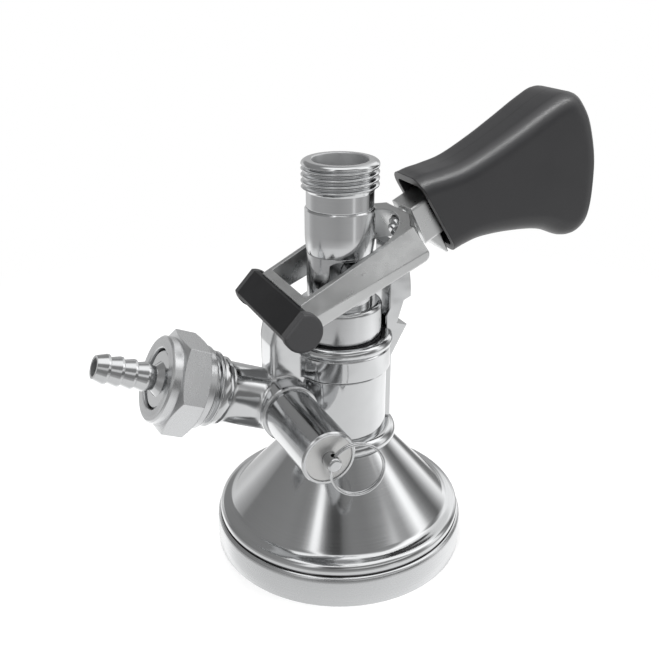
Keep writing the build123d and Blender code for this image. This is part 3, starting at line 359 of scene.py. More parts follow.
# nitrile rubber: dull black with a faint grey bloom in patches of a few millimetres
rubber, tree = new_material("moulded_nbr_rubber")
place = add(tree, "ShaderNodeTexCoord")
bloom = add(tree, "ShaderNodeTexNoise", None, {
    "Vector": (place, "Object"), "Scale": 1000 / 2.5, "Detail": 5.0,
})
tone = add(tree, "ShaderNodeMix", {"data_type": "RGBA"}, {
    "Factor": (bloom, "Fac"), 6: srgb("#141415"), 7: srgb("#262626"),
})
skin = add(tree, "ShaderNodeBump", None, {"Strength": 1.0, "Distance": 0.00001, "Height": (bloom, "Fac")})
soft = add(tree, "ShaderNodeBsdfPrincipled", None, {
    "Base Color": (tone, 2), "Roughness": 0.65, "Normal": (skin, 0),
})
add(tree, "ShaderNodeOutputMaterial", None, {"Surface": (soft, 0)})
for name in ("neck_seal", "gas_check_valve", "gas_gasket", "relief_seal", "sleeve_o_ring", "probe_seal"):
    dress(name, rubber)

# ---------------------------------------------------------------- gas nipple
# The nipple is screwed and welded into the branch. Its end carries the same thread
# as the beer outlet, cut on a lathe, and the union nut runs on it.
GAS_TILT = radians(23.1)                 # rise of the branch above level
GAS_LEAN = radians(90) - GAS_TILT        # its lean from upright
GAS_CENTRE = Vector((0, 0, 0.0444))
GAS_WAY = Vector((-cos(GAS_TILT), 0, sin(GAS_TILT)))


def rows(radius, start, end, count):
    """Evenly spaced profile points along a cylinder."""
    return [(radius, start + (end - start) * i / count) for i in range(count + 1)]


def thread_cutter():
    """Geometry Nodes tree that cuts a V thread into a turned blank."""
    tree = bpy.data.node_groups.new("thread_cutter", "GeometryNodeTree")
    face = tree.interface
    face.new_socket("Blank", in_out="INPUT", socket_type="NodeSocketGeometry")
    for socket in ("Centre", "Axis", "Across"):
        face.new_socket(socket, in_out="INPUT", socket_type="NodeSocketVector")
    for socket in ("Pitch", "Depth", "Start", "End", "Run Out", "Root Radius"):
        face.new_socket(socket, in_out="INPUT", socket_type="NodeSocketFloat")
    face.new_socket("Steel", in_out="INPUT", socket_type="NodeSocketMaterial")
    face.new_socket("Threaded", in_out="OUTPUT", socket_type="NodeSocketGeometry")
    given = add(tree, "NodeGroupInput")
    where = add(tree, "GeometryNodeInputPosition")
    from_centre = add(tree, "ShaderNodeVectorMath", {"operation": "SUBTRACT"}, {
        0: (where, 0), 1: (given, "Centre"),
    })
    side = add(tree, "ShaderNodeVectorMath", {"operation": "CROSS_PRODUCT"}, {
        0: (given, "Axis"), 1: (given, "Across"),
    })
    along, part_a, part_b = (
        add(tree, "ShaderNodeVectorMath", {"operation": "DOT_PRODUCT"}, {0: (from_centre, 0), 1: way})
        for way in ((given, "Axis"), (given, "Across"), (side, 0))
    )
    # a wave that moves up by one pitch for each turn round the axis
    turned = add(tree, "ShaderNodeMath", {"operation": "ARCTAN2"}, {
        0: (part_b, "Value"), 1: (part_a, "Value"),
    })
    turns = add(tree, "ShaderNodeMath", {"operation": "DIVIDE"}, {0: (turned, 0), 1: 2 * pi})
    pitches = add(tree, "ShaderNodeMath", {"operation": "DIVIDE"}, {0: (along, "Value"), 1: (given, "Pitch")})
    phase = add(tree, "ShaderNodeMath", {"operation": "SUBTRACT"}, {0: (pitches, 0), 1: (turns, 0)})
    wave = add(tree, "ShaderNodeMath", {"operation": "PINGPONG"}, {0: (phase, 0), 1: 0.5})
    # the crests and the roots of the V are a little flat
    flank = add(tree, "ShaderNodeMapRange", {"interpolation_type": "SMOOTHSTEP"}, {
        "Value": (wave, 0), "From Min": 0.04, "From Max": 0.46,
    })
    # the cut fades in and out over the run-out at both ends
    last = add(tree, "ShaderNodeMath", {"operation": "SUBTRACT"}, {0: (given, "End"), 1: (given, "Run Out")})
    first = add(tree, "ShaderNodeMath", {"operation": "ADD"}, {0: (given, "Start"), 1: (given, "Run Out")})
    rise = add(tree, "ShaderNodeMapRange", None, {
        "Value": (along, "Value"), "From Min": (given, "Start"), "From Max": (first, 0),
    })
    fall = add(tree, "ShaderNodeMapRange", None, {
        "Value": (along, "Value"), "From Min": (given, "End"), "From Max": (last, 0),
    })
    both = add(tree, "ShaderNodeMath", {"operation": "MULTIPLY"}, {0: (rise, 0), 1: (fall, 0)})
    shaped = add(tree, "ShaderNodeMath", {"operation": "MULTIPLY"}, {0: (both, 0), 1: (flank, 0)})
    cut = add(tree, "ShaderNodeMath", {"operation": "MULTIPLY"}, {0: (shaped, 0), 1: (given, "Depth")})
    # points outside the root move in towards the axis
    on_axis = add(tree, "ShaderNodeVectorMath", {"operation": "SCALE"}, {
        0: (given, "Axis"), "Scale": (along, "Value"),
    })
    outward = add(tree, "ShaderNodeVectorMath", {"operation": "SUBTRACT"}, {
        0: (from_centre, 0), 1: (on_axis, 0),
    })
    radius = add(tree, "ShaderNodeVectorMath", {"operation": "LENGTH"}, {0: (outward, 0)})
    outer = add(tree, "ShaderNodeMath", {"operation": "GREATER_THAN"}, {
        0: (radius, "Value"), 1: (given, "Root Radius"),
    })
    unit = add(tree, "ShaderNodeVectorMath", {"operation": "NORMALIZE"}, {0: (outward, 0)})
    depth = add(tree, "ShaderNodeMath", {"operation": "MULTIPLY"}, {0: (cut, 0), 1: -1.0})
    moved = add(tree, "ShaderNodeVectorMath", {"operation": "SCALE"}, {0: (unit, 0), "Scale": (depth, 0)})
    threaded = add(tree, "GeometryNodeSetPosition", None, {
        "Geometry": (given, "Blank"), "Selection": (outer, 0), "Offset": (moved, 0),
    })
    real = add(tree, "GeometryNodeRealizeInstances", None, {"Geometry": (threaded, 0)})
    coated = add(tree, "GeometryNodeSetMaterial", None, {"Geometry": (real, 0), "Material": (given, "Steel")})
    add(tree, "NodeGroupOutput", None, {"Threaded": (coated, 0)})
    return tree


def run_tree(piece, tree, values):
    """Runs a Geometry Nodes tree on a piece and keeps the result as its plain mesh."""
    modifier = piece.modifiers.new("shape", "NODES")
    modifier.node_group = tree
    for item in tree.interface.items_tree:
        if item.item_type == "SOCKET" and item.in_out == "INPUT" and item.name in values:
            modifier[item.identifier] = values[item.name]
    shaped = piece.evaluated_get(bpy.context.evaluated_depsgraph_get())
    mesh = bpy.data.meshes.new_from_object(shaped)
    piece.modifiers.remove(modifier)
    piece.data = mesh
    return piece


CUT_THREAD = thread_cutter()
PITCH = 0.001814          # 14 threads to the inch
THREAD_DEPTH = 0.00116
CREST_MM = 11.405
# the same bright turning as the barrel, with its rings round the leaning branch
gas_turned = turned_steel(
    "turned_stainless_gas", "#CBCCCD", 0.13, 0.3, 0.0015, 0.15,
    tilt=GAS_LEAN, centre=GAS_CENTRE, bore_mm=3.0,
)
nipple = turned_blank("threaded_nipple", (
    [(4.2, 43.0), (9.8, 43.0), (10.3, 43.5), (10.3, 45.4), (9.9, 46.0), (10.3, 46.3), (CREST_MM, 46.6)]
    + rows(CREST_MM, 46.7, 55.1, 56)
    + [(10.6, 56.0), (5.4, 56.0), (5.4, 51.0), (4.2, 51.0)]
), GAS_CENTRE, GAS_WAY, NEAR_SIDE, 120)
run_tree(nipple, CUT_THREAD, {
    "Centre": GAS_CENTRE, "Axis": GAS_WAY, "Across": NEAR_SIDE, "Pitch": PITCH, "Depth": THREAD_DEPTH,
    "Start": 0.0466, "End": 0.0556, "Run Out": 0.0004, "Root Radius": 0.0103, "Steel": gas_turned,
})
shade_by_angle(nipple, 60)
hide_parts("gas_nipple")
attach(nipple, "base")

# ---------------------------------------------------------------- union nut
# The nut is cut from hexagon bar. Its front is turned down to a round step, both
# ends of the hexagon are chamfered, and the flats keep the satin of drawn bar.
NUT_REAR = 49.5
NUT_FRONT = 63.6
FLATS = 27.0
# hexagon bar drawn through a die: an even satin, so each flat shows as one plain tone
hexagon_steel = turned_steel(
    "drawn_stainless_hexagon", "#D0D1D2", 0.28, 0.25, 0.0003, 0.35, tilt=GAS_LEAN, centre=GAS_CENTRE,
)
nut = turned_blank("hexagon_nut", [
    # rear end, turned round, and the hexagon's rear chamfer
    (11.6, NUT_REAR), (11.95, NUT_REAR), (12.4, NUT_REAR + 0.4), (12.4, NUT_REAR + 2.5),
    (13.3, NUT_REAR + 2.7), (15.9, NUT_REAR + 3.9),
    # front chamfer, round step and face
    (15.9, NUT_FRONT - 4.2), (13.3, NUT_FRONT - 3.1), (12.75, NUT_FRONT - 3.0),
    (12.75, NUT_FRONT - 0.5), (12.25, NUT_FRONT), (9.3, NUT_FRONT),
    # bore
    (9.0, NUT_FRONT - 0.3), (9.0, 60.5), (11.6, 60.5),
], GAS_CENTRE, GAS_WAY, NEAR_SIDE, 192)


def carve(piece, tool, operation):
    """Keeps what a Boolean with the tool leaves of a piece, and drops the tool."""
    step = piece.modifiers.new("carve", "BOOLEAN")
    step.operation = operation
    step.solver = "EXACT"
    step.object = tool
    shaped = piece.evaluated_get(bpy.context.evaluated_depsgraph_get())
    mesh = bpy.data.meshes.new_from_object(shaped)
    piece.modifiers.remove(step)
    piece.data = mesh
    bpy.data.objects.remove(tool)


def prism(name, ends):
    """A closed bar between two like rings of points."""
    made = bmesh.new()
    near_end, far_end = ([made.verts.new(point) for point in end] for end in ends)
    count = len(near_end)
    for i in range(count):
        after = (i + 1) % count
        made.faces.new((near_end[i], near_end[after], far_end[after], far_end[i]))
    made.faces.new(near_end)
    made.faces.new(list(reversed(far_end)))
    return piece_from(name, made)


CORNER_R = FLATS / 2 / cos(pi / 6) / 1000
stock = prism("hexagon_bar", [
    [
        GAS_CENTRE + GAS_WAY * (along / 1000)
        + (NEAR_SIDE * cos(k * pi / 3) + GAS_WAY.cross(NEAR_SIDE) * sin(k * pi / 3)) * CORNER_R
        for k in range(6)
    ]
    for along in (NUT_REAR - 5, NUT_FRONT + 5)
])
carve(nut, stock, "INTERSECT")
nut.data.materials.clear()
nut.data.materials.append(hexagon_steel)
shade_by_angle(nut, 20)
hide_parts("union_nut")
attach(nut, "base")

# ---------------------------------------------------------------- hose tail
# The tail is turned from stainless bar, with four barbs that grip the gas hose and
# a flange that the nut presses on its gasket.
dress("hose_tail", gas_turned)

# ---------------------------------------------------------------- relief valve
# A turned housing screwed into the boss, with a flat disc, a plunger and a split
# ring of spring wire that a finger pulls to let the gas out.
RELIEF_X = -0.0218        # the valve's axis lies along Y
RELIEF_Z = 0.055
EYE_Y = -0.0412           # middle of the hole in the plunger that the ring hangs in


def side_turned(name, colour, roughness):
    """Stainless steel turned about the relief valve's axis.

    The eye gets bands along the axis and, on the flat ends, faint circles.
    """
    material, tree = new_material(name)
    place = add(tree, "ShaderNodeTexCoord")
    parts = add(tree, "ShaderNodeSeparateXYZ", None, {0: (place, "Object")})
    dx = add(tree, "ShaderNodeMath", {"operation": "SUBTRACT"}, {0: (parts, "X"), 1: RELIEF_X})
    dz = add(tree, "ShaderNodeMath", {"operation": "SUBTRACT"}, {0: (parts, "Z"), 1: RELIEF_Z})
    across = add(tree, "ShaderNodeCombineXYZ", None, {"X": (dx, 0), "Y": (dz, 0)})
    radius = add(tree, "ShaderNodeVectorMath", {"operation": "LENGTH"}, {0: (across, 0)})
    rings = add(tree, "ShaderNodeCombineXYZ", None, {"X": (radius, "Value"), "Y": (parts, "Y")})
    # turning marks, three tenths of a millimetre apart, drawn coarser than the real feed
    marks = add(tree, "ShaderNodeTexNoise", None, {
        "Vector": (rings, 0), "Scale": 1000 / 0.3, "Detail": 3.0, "Roughness": 0.7,
    })
    tone = add(tree, "ShaderNodeMapRange", None, {
        "Value": (marks, "Fac"), "From Min": 0.3, "From Max": 0.7,
        "To Min": roughness * 0.75, "To Max": roughness * 1.3,
    })
    shade = add(tree, "ShaderNodeMix", {"data_type": "RGBA"}, {
        "Factor": (marks, "Fac"), 6: darker(colour, 0.88), 7: srgb(colour),
    })
    broken = add(tree, "ShaderNodeBevel", {"samples": 6}, {"Radius": 0.00025})
    groove = add(tree, "ShaderNodeBump", None, {
        "Strength": 1.0, "Distance": 0.0000018, "Height": (marks, "Fac"), "Normal": (broken, 0),
    })
    steel = add(tree, "ShaderNodeBsdfPrincipled", None, {
        "Base Color": (shade, 2), "Metallic": 1.0, "Roughness": (tone, 0), "Normal": (groove, 0),
    })
    add(tree, "ShaderNodeOutputMaterial", None, {"Surface": (steel, 0)})
    return material


# turned bar, a little duller than the body, so its bands have soft sides
relief_turned = side_turned("turned_stainless_relief", "#C4C5C6", 0.16)
for name in ("relief_housing", "relief_stem", "relief_spring"):
    dress(name, relief_turned)
# the disc is faced with a coarse feed, which leaves an even matt silver
dress("relief_cap", side_turned("faced_stainless_disc", "#D4D4D3", 0.45))
# wire drawn bright: a thin white line along each turn
spring_wire = side_turned("drawn_spring_wire", "#CDCECF", 0.14)


def split_ring():
    """Geometry Nodes tree that winds a split ring: two turns side by side, with a jog."""
    tree = bpy.data.node_groups.new("split_ring", "GeometryNodeTree")
    face = tree.interface
    face.new_socket("Blank", in_out="INPUT", socket_type="NodeSocketGeometry")
    for socket in ("Radius", "Wire Radius", "Shift"):
        face.new_socket(socket, in_out="INPUT", socket_type="NodeSocketFloat")
    face.new_socket("Wire", in_out="INPUT", socket_type="NodeSocketMaterial")
    face.new_socket("Ring", in_out="OUTPUT", socket_type="NodeSocketGeometry")
    given = add(tree, "NodeGroupInput")
    path = add(tree, "GeometryNodeCurveSpiral", None, {
        "Resolution": 96, "Rotations": 2.0, "Height": 0.0,
        "Start Radius": (given, "Radius"), "End Radius": (given, "Radius"),
    })
    # half way along, the wire steps across from one turn to the other
    share = add(tree, "GeometryNodeSplineParameter")
    passed = add(tree, "ShaderNodeMapRange", {"interpolation_type": "SMOOTHSTEP"}, {
        "Value": (share, "Factor"), "From Min": 0.44, "From Max": 0.56, "To Min": -1.0, "To Max": 1.0,
    })
    aside = add(tree, "ShaderNodeMath", {"operation": "MULTIPLY"}, {0: (passed, 0), 1: (given, "Shift")})
    offset = add(tree, "ShaderNodeCombineXYZ", None, {"Z": (aside, 0)})
    wound = add(tree, "GeometryNodeSetPosition", None, {"Geometry": (path, 0), "Offset": (offset, 0)})
    section = add(tree, "GeometryNodeCurvePrimitiveCircle", None, {
        "Resolution": 14, "Radius": (given, "Wire Radius"),
    })
    swept = add(tree, "GeometryNodeCurveToMesh", None, {
        "Curve": (wound, 0), "Profile Curve": (section, 0), "Fill Caps": True,
    })
    real = add(tree, "GeometryNodeRealizeInstances", None, {"Geometry": (swept, 0)})
    coated = add(tree, "GeometryNodeSetMaterial", None, {"Geometry": (real, 0), "Material": (given, "Wire")})
    add(tree, "NodeGroupOutput", None, {"Ring": (coated, 0)})
    return tree


RING_R = 0.0076
WIRE_R = 0.00038
TURN_SHIFT = 0.00046      # of each turn from the ring's middle plane
RING_LEAN = radians(78)   # how far the ring hangs from the plunger's axis
EYE_LEAN = radians(66)    # lean of the hole in the plunger
SPLIT_TURN = radians(70)  # where the wire's ends lie, away from the hole
hole_way = Vector((cos(EYE_LEAN), 0, sin(EYE_LEAN)))
ring_out = Vector((sin(EYE_LEAN) * sin(RING_LEAN), -cos(RING_LEAN), -cos(EYE_LEAN) * sin(RING_LEAN)))
ring_axis = hole_way.cross(ring_out)
ring = piece_from("split_ring", bmesh.new())
run_tree(ring, split_ring(), {
    "Radius": RING_R, "Wire Radius": WIRE_R, "Shift": TURN_SHIFT, "Wire": spring_wire,
})
start_way = ring_out * cos(SPLIT_TURN) + hole_way * sin(SPLIT_TURN)
placed = Matrix((start_way, ring_axis.cross(start_way), ring_axis)).transposed().to_4x4()
placed.translation = Vector((RELIEF_X, EYE_Y, RELIEF_Z)) + ring_out * RING_R
ring.data.transform(placed)
shade_by_angle(ring, 40)
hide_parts("pull_ring")
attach(ring, "relief_ring")

# ---------------------------------------------------------------- probe and beer outlet
# The hollow probe slides in the body. Its parts are turned bright; the outlet at its
# top ends in a five-eighths pipe thread for the beer hose, with a white ball inside.
for name in ("probe_tube", "probe_sleeve", "outlet_barrel"):
    dress(name, bright_turned)
OUTLET_CREST_MM = 11.455  # half of the pipe thread's 22.91 mm
# turned bright without a broken edge, so the thread's crests stay sharp lines of light
outlet_turned = turned_steel("turned_stainless_outlet", "#CBCCCD", 0.13, 0.3, 0.0004, 0.0, bore_mm=8.5)
outlet = turned_blank("threaded_outlet", (
    # neck and the shoulder that the thread runs out on
    [(6.7, 113.3), (9.9, 113.3), (10.0, 113.4), (10.0, 113.6), (10.0, 118.0), (10.0, 118.2),
     (10.3, 118.7), (11.0, 119.15), (OUTLET_CREST_MM, 119.3)]
    + rows(OUTLET_CREST_MM, 119.35, 126.1, 96)
    # rounded mouth, then the bore down to the ball's seat
    + [(11.35, 126.4), (11.1, 126.7), (10.75, 126.95), (10.3, 127.12), (9.8, 127.2), (8.7, 127.2),
       (8.45, 127.1), (8.3, 126.8), (8.3, 115.7), (6.7, 114.9)]
), ORIGIN, UP, NEAR_SIDE, 216)
run_tree(outlet, CUT_THREAD, {
    "Centre": ORIGIN, "Axis": UP, "Across": NEAR_SIDE, "Pitch": PITCH, "Depth": THREAD_DEPTH,
    "Start": 0.1188, "End": 0.1260, "Run Out": 0.0005, "Root Radius": 0.0104, "Steel": outlet_turned,
})
shade_by_angle(outlet, 60)
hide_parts("outlet_spigot")
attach(outlet, "probe")
dress("ball_cage", black_acetal)
# the ball is pressed and ground from PTFE: a clean, waxy white
dress("check_ball", moulded_plastic("white_ptfe", "#D9D7CF", "#E6E4DD", 0.35, 0.8, 0.002, 0.1))

# ---------------------------------------------------------------- lever
# The lever is one investment casting, shot-blasted and lightly polished to an even
# satin, with two arms, a crosspiece and the knuckle that its pin passes through.

# blasting takes the mirror away: each face is one soft grey that turns at the edges
satin_casting = cast_steel("satin_cast_stainless", "#D0D1D1", 0.3, 5.0, 0.02, 0.003, 0.5)
dress("lever", satin_casting)
dress("shank", satin_casting)
for name in ("pivot_pin", "drive_pins", "latch_bolt", "latch_spring"):
    dress(name, bright_turned)
# the cap is glass-filled polyamide: a deep, dry black
CHEEK_Y = 0.018           # the cheeks lie outside this, on both sides
SEAM_Y = 0.0177
SEAM_HALF = 0.0003
cap_skin = moulded_plastic("black_polyamide_cap", "#060608", "#0C0C0E", 0.45, 0.4, 0.005, 0.3)
tree = cap_skin.node_tree
shell = next(node for node in tree.nodes if node.type == "BSDF_PRINCIPLED")
shell.inputs["Specular IOR Level"].default_value = 0.2
# its two round cheeks stand proud and are coloured a paler grey than the rest of the cap
place = add(tree, "ShaderNodeTexCoord")
parts = add(tree, "ShaderNodeSeparateXYZ", None, {0: (place, "Object")})
out = add(tree, "ShaderNodeMath", {"operation": "ABSOLUTE"}, {0: (parts, "Y")})
cheek = add(tree, "ShaderNodeMapRange", None, {
    "Value": (out, 0), "From Min": CHEEK_Y - 0.0001, "From Max": CHEEK_Y + 0.0001,
})
moulded = shell.inputs["Base Color"].links[0].from_node
paler_cheeks = add(tree, "ShaderNodeMix", {"data_type": "RGBA"}, {
    "Factor": (cheek, 0), 6: (moulded, 2), 7: srgb("#353536"),
})
# the seam between cap and cheek is a dark line
seam = add(tree, "ShaderNodeMath", {"operation": "COMPARE"}, {0: (out, 0), 1: SEAM_Y, 2: SEAM_HALF})
seamed = add(tree, "ShaderNodeMix", {"data_type": "RGBA"}, {
    "Factor": (seam, 0), 6: (paler_cheeks, 2), 7: srgb("#050505"),
})
tree.links.new(seamed.outputs[2], shell.inputs["Base Color"])
dress("lever_cap", cap_skin)

# ---------------------------------------------------------------- grip
# The grip is moulded in black polyamide, hollow at its mouth, where the shank enters.
# It is wider and deeper at its far end, and a parting line runs round it.
PIVOT = Vector((-0.019, 0, 0.0835))
LEVER_RISE = radians(27)
LEVER_ALONG = Vector((cos(LEVER_RISE), 0, sin(LEVER_RISE)))
LEVER_UP = Vector((-sin(LEVER_RISE), 0, cos(LEVER_RISE)))
MOUTH_U = 53.8            # distance of the mouth from the pivot pin
MOUTH_LEAN = radians(5)
MOUTH_HALF = 9.4          # half of the width at the mouth
WIDENING = 2.4            # by which each side has moved out at the far end
GRIP_LENGTH = 59.0
ROUND_MM = 5.5            # radius of the long edges
ROUND_STEPS = 8


def on_lever(along, side, up):
    """A point given in the raised lever's own directions, in mm from its pin."""
    return PIVOT + LEVER_ALONG * (along / 1000) + Vector((0, side / 1000, 0)) + LEVER_UP * (up / 1000)


def smooth_loop(points, parts):
    """Points along a closed curve through the given ones."""
    made = []
    count = len(points)
    for i in range(count):
        before, start, end, after = (Vector(points[(i + k) % count]) for k in (-1, 0, 1, 2))
        for k in range(parts):
            t = k / parts
            made.append(0.5 * (
                2 * start + (end - before) * t
                + (2 * before - 5 * start + 4 * end - after) * t * t
                + (3 * start - before - 3 * end + after) * t ** 3
            ))
    return made


side_view = smooth_loop([
    # top, from the mouth back
    (44.0, 14.0), (54.0, 14.1), (61.0, 12.3), (68.6, 10.6), (79.6, 10.4), (90.0, 10.9), (99.9, 11.6),
    # round the far end
    (106.8, 11.4), (111.0, 8.6), (112.7, 3.2), (112.9, -3.0), (111.3, -12.5), (108.6, -20.0),
    (104.6, -28.0), (100.6, -32.6), (95.4, -34.0),
    # underside, forward to the mouth
    (90.3, -31.8), (84.0, -25.2), (74.2, -19.4), (65.0, -15.4), (59.2, -14.2), (54.0, -13.9),
    (44.0, -13.9),
], 7)
outer = len(side_view)
# each side's loops: how far in from the outline, and how far back from the flat side
rims = []
for side in (-1, 1):
    for step in range(ROUND_STEPS + 1):
        turn_by = radians(90) * step / ROUND_STEPS
        rims.append((side, ROUND_MM * (1 - cos(turn_by)), ROUND_MM * (1 - sin(turn_by))))
    rims.append((side, ROUND_MM + 0.6, 0.0))
made = bmesh.new()
loops = []
for side, inset, back in rims:
    ring = []
    for i, point in enumerate(side_view):
        way = side_view[(i + 1) % outer] - side_view[i - 1]
        inward = Vector((way.y, -way.x)).normalized()
        held = point + inward * inset
        half_width = MOUTH_HALF + WIDENING * (held.x - MOUTH_U) / GRIP_LENGTH
        ring.append(made.verts.new(on_lever(held.x, side * (half_width - back), held.y)))
    loops.append(ring)
near, far = loops[:ROUND_STEPS + 2], loops[ROUND_STEPS + 2:]
for group in (near, far):
    for one, two in zip(group, group[1:]):
        for i in range(outer):
            after = (i + 1) % outer
            made.faces.new((one[i], one[after], two[after], two[i]))
    made.faces.new(group[-1])
for i in range(outer):
    after = (i + 1) % outer
    made.faces.new((near[0][i], near[0][after], far[0][after], far[0][i]))
bmesh.ops.recalc_face_normals(made, faces=made.faces)
# the mouth is a plane that leans back a little
cut = bmesh.ops.bisect_plane(
    made, geom=made.verts[:] + made.edges[:] + made.faces[:], dist=1e-7, clear_outer=True,
    plane_co=on_lever(MOUTH_U, 0, 0),
    plane_no=-(LEVER_ALONG * cos(MOUTH_LEAN) + LEVER_UP * sin(MOUTH_LEAN)),
)
rim = [item for item in cut["geom_cut"] if isinstance(item, bmesh.types.BMEdge)]
bmesh.ops.holes_fill(made, edges=rim, sides=0)
grip = piece_from("hand_grip_shell", made)


def pocket_tool(name, half_width, low_up, high_up, start, end, corner):
    """A rounded bar along the lever that cuts a pocket in the grip."""
    outline = []
    for centre_side, centre_up, first in (
        (half_width - corner, high_up - corner, 0), (corner - half_width, high_up - corner, 90),
        (corner - half_width, low_up + corner, 180), (half_width - corner, low_up + corner, 270),
    ):
        for step in range(7):  # a quarter circle in steps of 15 degrees
            turn_by = radians(first + 15 * step)
            outline.append((centre_side + corner * cos(turn_by), centre_up + corner * sin(turn_by)))
    return prism(name, [[on_lever(along, side, up) for side, up in outline] for along in (start, end)])


for tool in (
    pocket_tool("mouth_hollow", 7.3, -11.3, 11.5, MOUTH_U - 4, MOUTH_U + 7, 2.2),
    pocket_tool("shank_pocket", 6.05, -6.25, 6.85, MOUTH_U + 5, 80.05, 0.85),
):
    carve(grip, tool, "DIFFERENCE")
# glass-filled polyamide, worn by hands: charcoal with a broad, soft sheen
grip_skin = moulded_plastic("black_polyamide_grip", "#1A1A1C", "#252526", 0.4, 0.4, 0.005, 0.5)
tree = grip_skin.node_tree
shell = next(node for node in tree.nodes if node.type == "BSDF_PRINCIPLED")
place = add(tree, "ShaderNodeTexCoord")
parts = add(tree, "ShaderNodeSeparateXYZ", None, {0: (place, "Object")})
# the parting line of the mould, a quarter of a millimetre wide
middle = add(tree, "ShaderNodeMath", {"operation": "COMPARE"}, {0: (parts, "Y"), 1: 0.0, 2: 0.00013})
moulded = shell.inputs["Base Color"].links[0].from_node
parted = add(tree, "ShaderNodeMix", {"data_type": "RGBA"}, {
    "Factor": (middle, 0), 6: (moulded, 2), 7: srgb("#0A0A0A"),
})
tree.links.new(parted.outputs[2], shell.inputs["Base Color"])
grip.data.materials.clear()
grip.data.materials.append(grip_skin)
shade_by_angle(grip, 32)
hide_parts("grip")
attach(grip, "hand_grip")

# ---------------------------------------------------------------- floor and light
# A sheet of white paper on a table, in a room of pale walls with a few black cards,
# which polished steel needs to show its shape.
FLOOR_HALF = 3.0
SHADOW_END = 0.12         # metres from the middle, where the paper starts to pass to white
WHITE_START = 0.32        # and from where it is plain white
floor_mesh = bpy.data.meshes.new("floor")
corners = [(x * FLOOR_HALF, y * FLOOR_HALF, 0) for x, y in ((-1, -1), (1, -1), (1, 1), (-1, 1))]
floor_mesh.from_pydata(corners, [], [(0, 1, 2, 3)])
floor = bpy.data.objects.new("floor", floor_mesh)
bpy.context.scene.collection.objects.link(floor)
# white paper: matt, it takes the soft shadow near the bell and is plain white further out
paper, tree = new_material("white_paper")
seen = add(tree, "ShaderNodeLightPath")
place = add(tree, "ShaderNodeTexCoord")
away = add(tree, "ShaderNodeVectorMath", {"operation": "LENGTH"}, {0: (place, "Object")})
far = add(tree, "ShaderNodeMapRange", {"interpolation_type": "SMOOTHSTEP"}, {
    "Value": (away, "Value"), "From Min": SHADOW_END, "From Max": WHITE_START,
})
matte = add(tree, "ShaderNodeBsdfDiffuse", None, {"Color": srgb("#E6E6E6")})
lift = add(tree, "ShaderNodeEmission", None, {"Color": (1, 1, 1, 1), "Strength": 0.34})
near = add(tree, "ShaderNodeAddShader", None, {0: (matte, 0), 1: (lift, 0)})
white = add(tree, "ShaderNodeEmission", None, {"Color": (1, 1, 1, 1), "Strength": 1.0})
shown = add(tree, "ShaderNodeMixShader", None, {0: (far, 0), 1: (near, 0), 2: (white, 0)})
# the lifted white is for what is looked at, reflected or seen through, and lights nothing
direct = add(tree, "ShaderNodeMath", {"operation": "MAXIMUM"}, {
    0: (seen, "Is Camera Ray"), 1: (seen, "Is Transmission Ray"),
})
bright = add(tree, "ShaderNodeMath", {"operation": "MAXIMUM"}, {0: (direct, 0), 1: (seen, "Is Glossy Ray")})
paper_mix = add(tree, "ShaderNodeMixShader", None, {0: (bright, 0), 1: (matte, 0), 2: (shown, 0)})
add(tree, "ShaderNodeOutputMaterial", None, {"Surface": (paper_mix, 0)})
floor_mesh.materials.append(paper)
# polished steel shows the room's own table below it, which is drawn in the world
floor.visible_glossy = False

world = bpy.data.worlds.new("studio")
bpy.context.scene.world = world
world.use_nodes = True
tree = world.node_tree
tree.nodes.clear()
look = add(tree, "ShaderNodeTexCoord")
way = add(tree, "ShaderNodeSeparateXYZ", None, {0: (look, "Generated")})
turn = add(tree, "ShaderNodeMath", {"operation": "ARCTAN2"}, {0: (way, "Y"), 1: (way, "X")})
share = add(tree, "ShaderNodeMapRange", None, {"Value": (turn, 0), "From Min": -pi, "From Max": pi})

